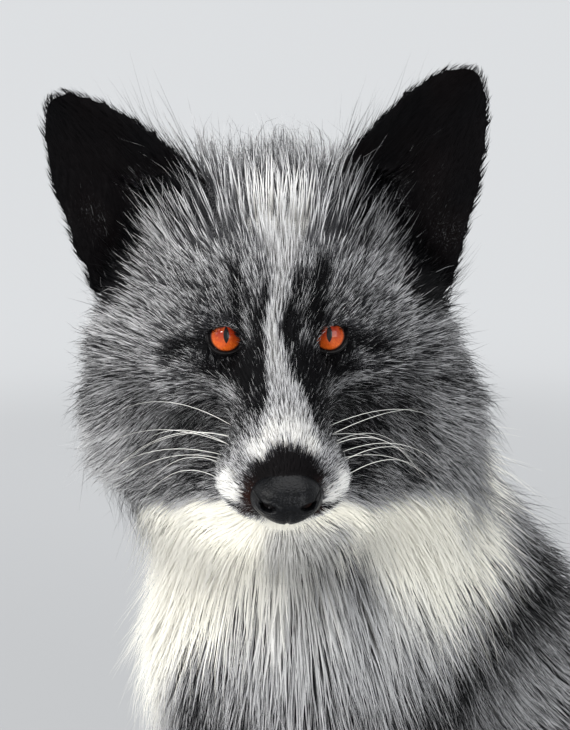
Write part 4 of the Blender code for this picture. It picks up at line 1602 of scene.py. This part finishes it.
# distance in the plane from points a, b to the line between start and end
def lineDistance(a, b, start, end):
    start, end = np.array(start), np.array(end)
    way = end - start
    share = np.clip(((a - start[0]) * way[0] + (b - start[1]) * way[1]) / (way @ way), 0, 1)
    return np.hypot(a - start[0] - way[0] * share, b - start[1] - way[1] * share)


# a cube with this many cuts, blown up to a ball: its mesh and its points
def ballFromCube(cuts):
    bm = bmesh.new()
    bmesh.ops.create_cube(bm, size=2)
    bmesh.ops.subdivide_edges(bm, edges=bm.edges[:], cuts=cuts, use_grid_fill=True)
    cube = np.array([v.co[:] for v in bm.verts])
    sphere = np.empty_like(cube)
    for k in range(3):
        b, c = cube[:, (k + 1) % 3] ** 2, cube[:, (k + 2) % 3] ** 2
        sphere[:, k] = cube[:, k] * np.sqrt(1 - b / 2 - c / 2 + b * c / 3)
    return bm, sphere


# the leather's points round its middle, and how deep each is hollowed
def noseShape(sphere):
    # a little squarer than a ball: broad top, narrower below
    squarer = unit(np.sign(sphere) * np.abs(sphere) ** 0.86)
    point = squarer * np.linalg.norm(sphere, axis=1)[:, None]
    a, f, b = point.T
    narrow = 1 - 0.20 * ramp(-b, 0.1, 1.0)
    place = np.column_stack((a * narrow, f, b)) * noseForm["radii"]
    facing = ramp(f, 0.0, 0.35)
    side = np.abs(a)
    na, nb = noseForm["nostril"]
    hole = np.hypot((side - na) / noseForm["nostrilSize"][0], (b - nb) / noseForm["nostrilSize"][1])
    deep = noseForm["nostrilDeep"] * (1 - ramp(hole, 0.45, 1.1))
    slit = lineDistance(side, b, (na + 0.10, nb + 0.03), noseForm["slitEnd"])
    deep = np.maximum(deep, noseForm["slitDeep"] * (1 - ramp(slit, 0.02, 0.11)))
    groove = lineDistance(side, b, (0, -1.2), (0, -0.05))
    deep = np.maximum(deep, noseForm["grooveDeep"] * (1 - ramp(groove, 0.01, 0.10)))
    rim = hump(hole - 1.35, 0.32) * 0.0006 * ramp(side, 0.05, 0.2)
    swell = np.exp(-(((side - 0.50) / 0.30) ** 2) - ((b - 0.55) / 0.32) ** 2) * 0.0009
    place[:, 1] += facing * (rim + swell - deep)
    place[:, 1] -= 0.0012 * ramp(b, 0.55, 1.0) * facing  # the top slopes back
    return place, facing * deep


def makeNose():
    bm, sphere = ballFromCube(45)
    place, hollowed = noseShape(sphere)
    world = browPoint + (place + headCoords(middleOf("nose"))) @ headAxes
    for vert, p in zip(bm.verts, world.tolist(), strict=True):
        vert.co = p
    mesh = bpy.data.meshes.new("noseLeather")
    bm.to_mesh(mesh)
    bm.free()
    mesh.shade_smooth()
    leather = newObject("noseLeather", mesh)
    addAttribute(mesh, "nosePlace", "FLOAT_VECTOR", "POINT", place * 1000)
    addAttribute(mesh, "hollow", "FLOAT", "POINT", hollowed * 1000)
    fixFaces(leather)
    mesh.materials.append(leatherMaterial())
    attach(leather, "root")
    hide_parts("nose")


# pebbled and damp, with painted shade: darker in the creases between the pebbles and in the nostrils and
# other hollows
def leatherMaterial():
    material, w, shader = newMaterial("noseLeather")
    place = w.add("ShaderNodeAttribute", output="Vector", attribute_name="nosePlace")
    hollow = w.add("ShaderNodeAttribute", output="Fac", attribute_name="hollow")
    pebble = w.add("ShaderNodeTexVoronoi", {"Vector": place, "Scale": 1.25}, feature="SMOOTH_F1")
    fine = w.add("ShaderNodeTexNoise", {"Vector": place, "Scale": 3.0, "Detail": 3})
    # painted shade: darker in the creases between the pebbles
    colour = w.mixColour(w.ramp(pebble, 0.15, 0.75), (0.0030, 0.0033, 0.0042, 1), (0.0008, 0.0008, 0.0010, 1))
    # painted shade: darker the deeper the hollow, most in the nostrils
    colour = w.mixColour(w.ramp(hollow, 0.6, 3.5), colour, (0.0008, 0.0007, 0.0007, 1))
    w.put(shader.inputs["Base Color"], colour)
    height = w.math("SUBTRACT", w.math("MULTIPLY", fine, 0.25), w.math("MULTIPLY", pebble, 0.9))
    w.bump(shader, height, 0.75, 0.00028)
    w.put(shader.inputs["Roughness"], w.mixNumber(fine, 0.20, 0.40))
    shader.inputs["Specular IOR Level"].default_value = 0.16
    return material


makeNose()
print("nose made")

# whiskers
whiskerForm = {
    "rows": ((0.036, -0.031, 3), (0.040, -0.037, 4), (0.042, -0.043, 3)),  # forward, up and how many
    "thick": 0.00014,
    "steps": 14,
}


def addTube(verts, faces, line, thick, sides=4):
    base = len(verts)
    for i, p in enumerate(line):
        ahead = unit(line[min(i + 1, len(line) - 1)] - line[max(i - 1, 0)])
        aside = unit(np.cross(ahead, (0.13, 0.21, 0.97)))
        above = np.cross(aside, ahead)
        girth = thick * (1 - 0.85 * (i / (len(line) - 1)) ** 1.3)
        for j in range(sides):
            a = 2 * math.pi * j / sides
            verts.append(p + (aside * math.cos(a) + above * math.sin(a)) * girth)
    faces += rodFaces(base, len(line), sides)


def makeWhiskers():
    chance = np.random.default_rng(61)
    white, black = ([], []), ([], [])
    skinTree, _ = bvhOf(skin.data)
    for sign in (1, -1):
        for forward, up, count in whiskerForm["rows"]:
            for i in range(count):
                root = inHead(sign * 0.05, forward - 0.0075 * i, up - 0.001 * i + 0.001 * chance.normal())
                middle = inHead(0, forward - 0.0075 * i, up)
                hit = skinTree.ray_cast(Vector(root), Vector(middle - root))[0]
                root = np.array(hit) if hit is not None else root
                reach = 0.050 + 0.007 * i + 0.006 * chance.uniform(-1, 1)
                ahead = 0.10 - 0.14 * i + 0.08 * chance.normal()
                rise = 0.78 - 0.20 * i + 0.14 * chance.normal()
                way = np.array((sign * 1.0, ahead, rise))
                sag = np.array((-sign * 0.15, -0.60, -1.35 + 0.20 * chance.normal()))
                line = []
                for k in range(whiskerForm["steps"]):
                    t = k / (whiskerForm["steps"] - 1)
                    line.append(root + (unit(way) * reach * t + sag * reach * t * t * 0.55) @ headAxes)
                verts, faces = white if not (i == 1 and up < -0.041) else black
                addTube(verts, faces, line, whiskerForm["thick"])
        for out, forward, up, lean in ((0.017, -0.004, 0.014, 0.3), (0.026, -0.012, 0.013, 0.6)):
            root = inHead(sign * out, forward, up)
            line = []
            for k in range(8):
                t = k / 7
                way = np.array((sign * lean * t, 0.35 * t - 0.9 * t * t, 1.0 * t))
                line.append(root + way * 0.026 @ headAxes)
            addTube(*black, line, whiskerForm["thick"] * 0.8)
    for name, (verts, faces), colour in (
        ("whiskersWhite", white, (0.86, 0.85, 0.80, 1)),
        ("whiskersDark", black, (0.012, 0.010, 0.010, 1)),
    ):
        piece = makeObject(name, verts, faces)
        fixFaces(piece)
        material, w, shader = newMaterial(name)
        place = w.add("ShaderNodeTexCoord", output="Object")
        grain = w.add("ShaderNodeTexNoise", {"Vector": place, "Scale": 300, "Detail": 1})
        darker = tuple(c * 0.75 for c in colour[:3]) + (1,)
        w.put(shader.inputs["Base Color"], w.mixColour(grain, darker, colour))
        shader.inputs["Roughness"].default_value = 0.35
        piece.data.materials.append(material)
        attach(piece, "root")


# claws: four on each paw, out of the tips of the toes
clawForm = {
    "toes": (-0.375, -0.125, 0.125, 0.375),  # shares of the paw's width from its middle
    "long": 0.0105,
    "thick": 0.0025,
    "high": 0.0085,
    "steps": 9,
    "sides": 10,
}


def makeClaws():
    verts, faces = [], []
    for low, high in pawBoxes:
        middle, width = (low[0] + high[0]) / 2, high[0] - low[0]
        for toe in clawForm["toes"]:
            across = middle + toe * width * 0.92
            hit = coatTree.ray_cast(Vector((across, low[1] - 0.02, clawForm["high"])), Vector((0, 1, 0)))[0]
            if hit is None:
                continue
            root = np.array(hit) + (0, 0.0035, 0.0008)
            base = len(verts)
            for i in range(clawForm["steps"]):
                t = i / (clawForm["steps"] - 1)
                along = (toe * 0.004 * t, -clawForm["long"] * t, 0.0012 * t - 0.0085 * t * t)
                centre = root + np.array(along)
                girth = clawForm["thick"] * (1 - 0.93 * t**1.4)
                for j in range(clawForm["sides"]):
                    a = 2 * math.pi * j / clawForm["sides"]
                    out = np.array((0.72 * math.cos(a), 0.3 * t * math.sin(a), math.sin(a)))
                    verts.append(centre + out * girth)
            faces += rodFaces(base, clawForm["steps"], clawForm["sides"])
    claws = makeObject("claws", verts, faces)
    fixFaces(claws)
    material, w, shader = newMaterial("clawHorn")
    place = w.add("ShaderNodeTexCoord", output="Object")
    drawnOut = w.vector("MULTIPLY", place, (1800, 260, 1800))
    streak = w.add("ShaderNodeTexNoise", {"Vector": drawnOut, "Scale": 1.0, "Detail": 2})
    horn = w.mixColour(streak, (0.010, 0.008, 0.007, 1), (0.045, 0.034, 0.026, 1))
    w.put(shader.inputs["Base Color"], horn)
    w.bump(shader, streak, 0.4, 0.0002)
    shader.inputs["Roughness"].default_value = 0.38
    claws.data.materials.append(material)
    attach(claws, "root")
    print("claws", len(verts) // (clawForm["sides"] * clawForm["steps"]))


makeWhiskers()
makeClaws()
print("whiskers and claws made")
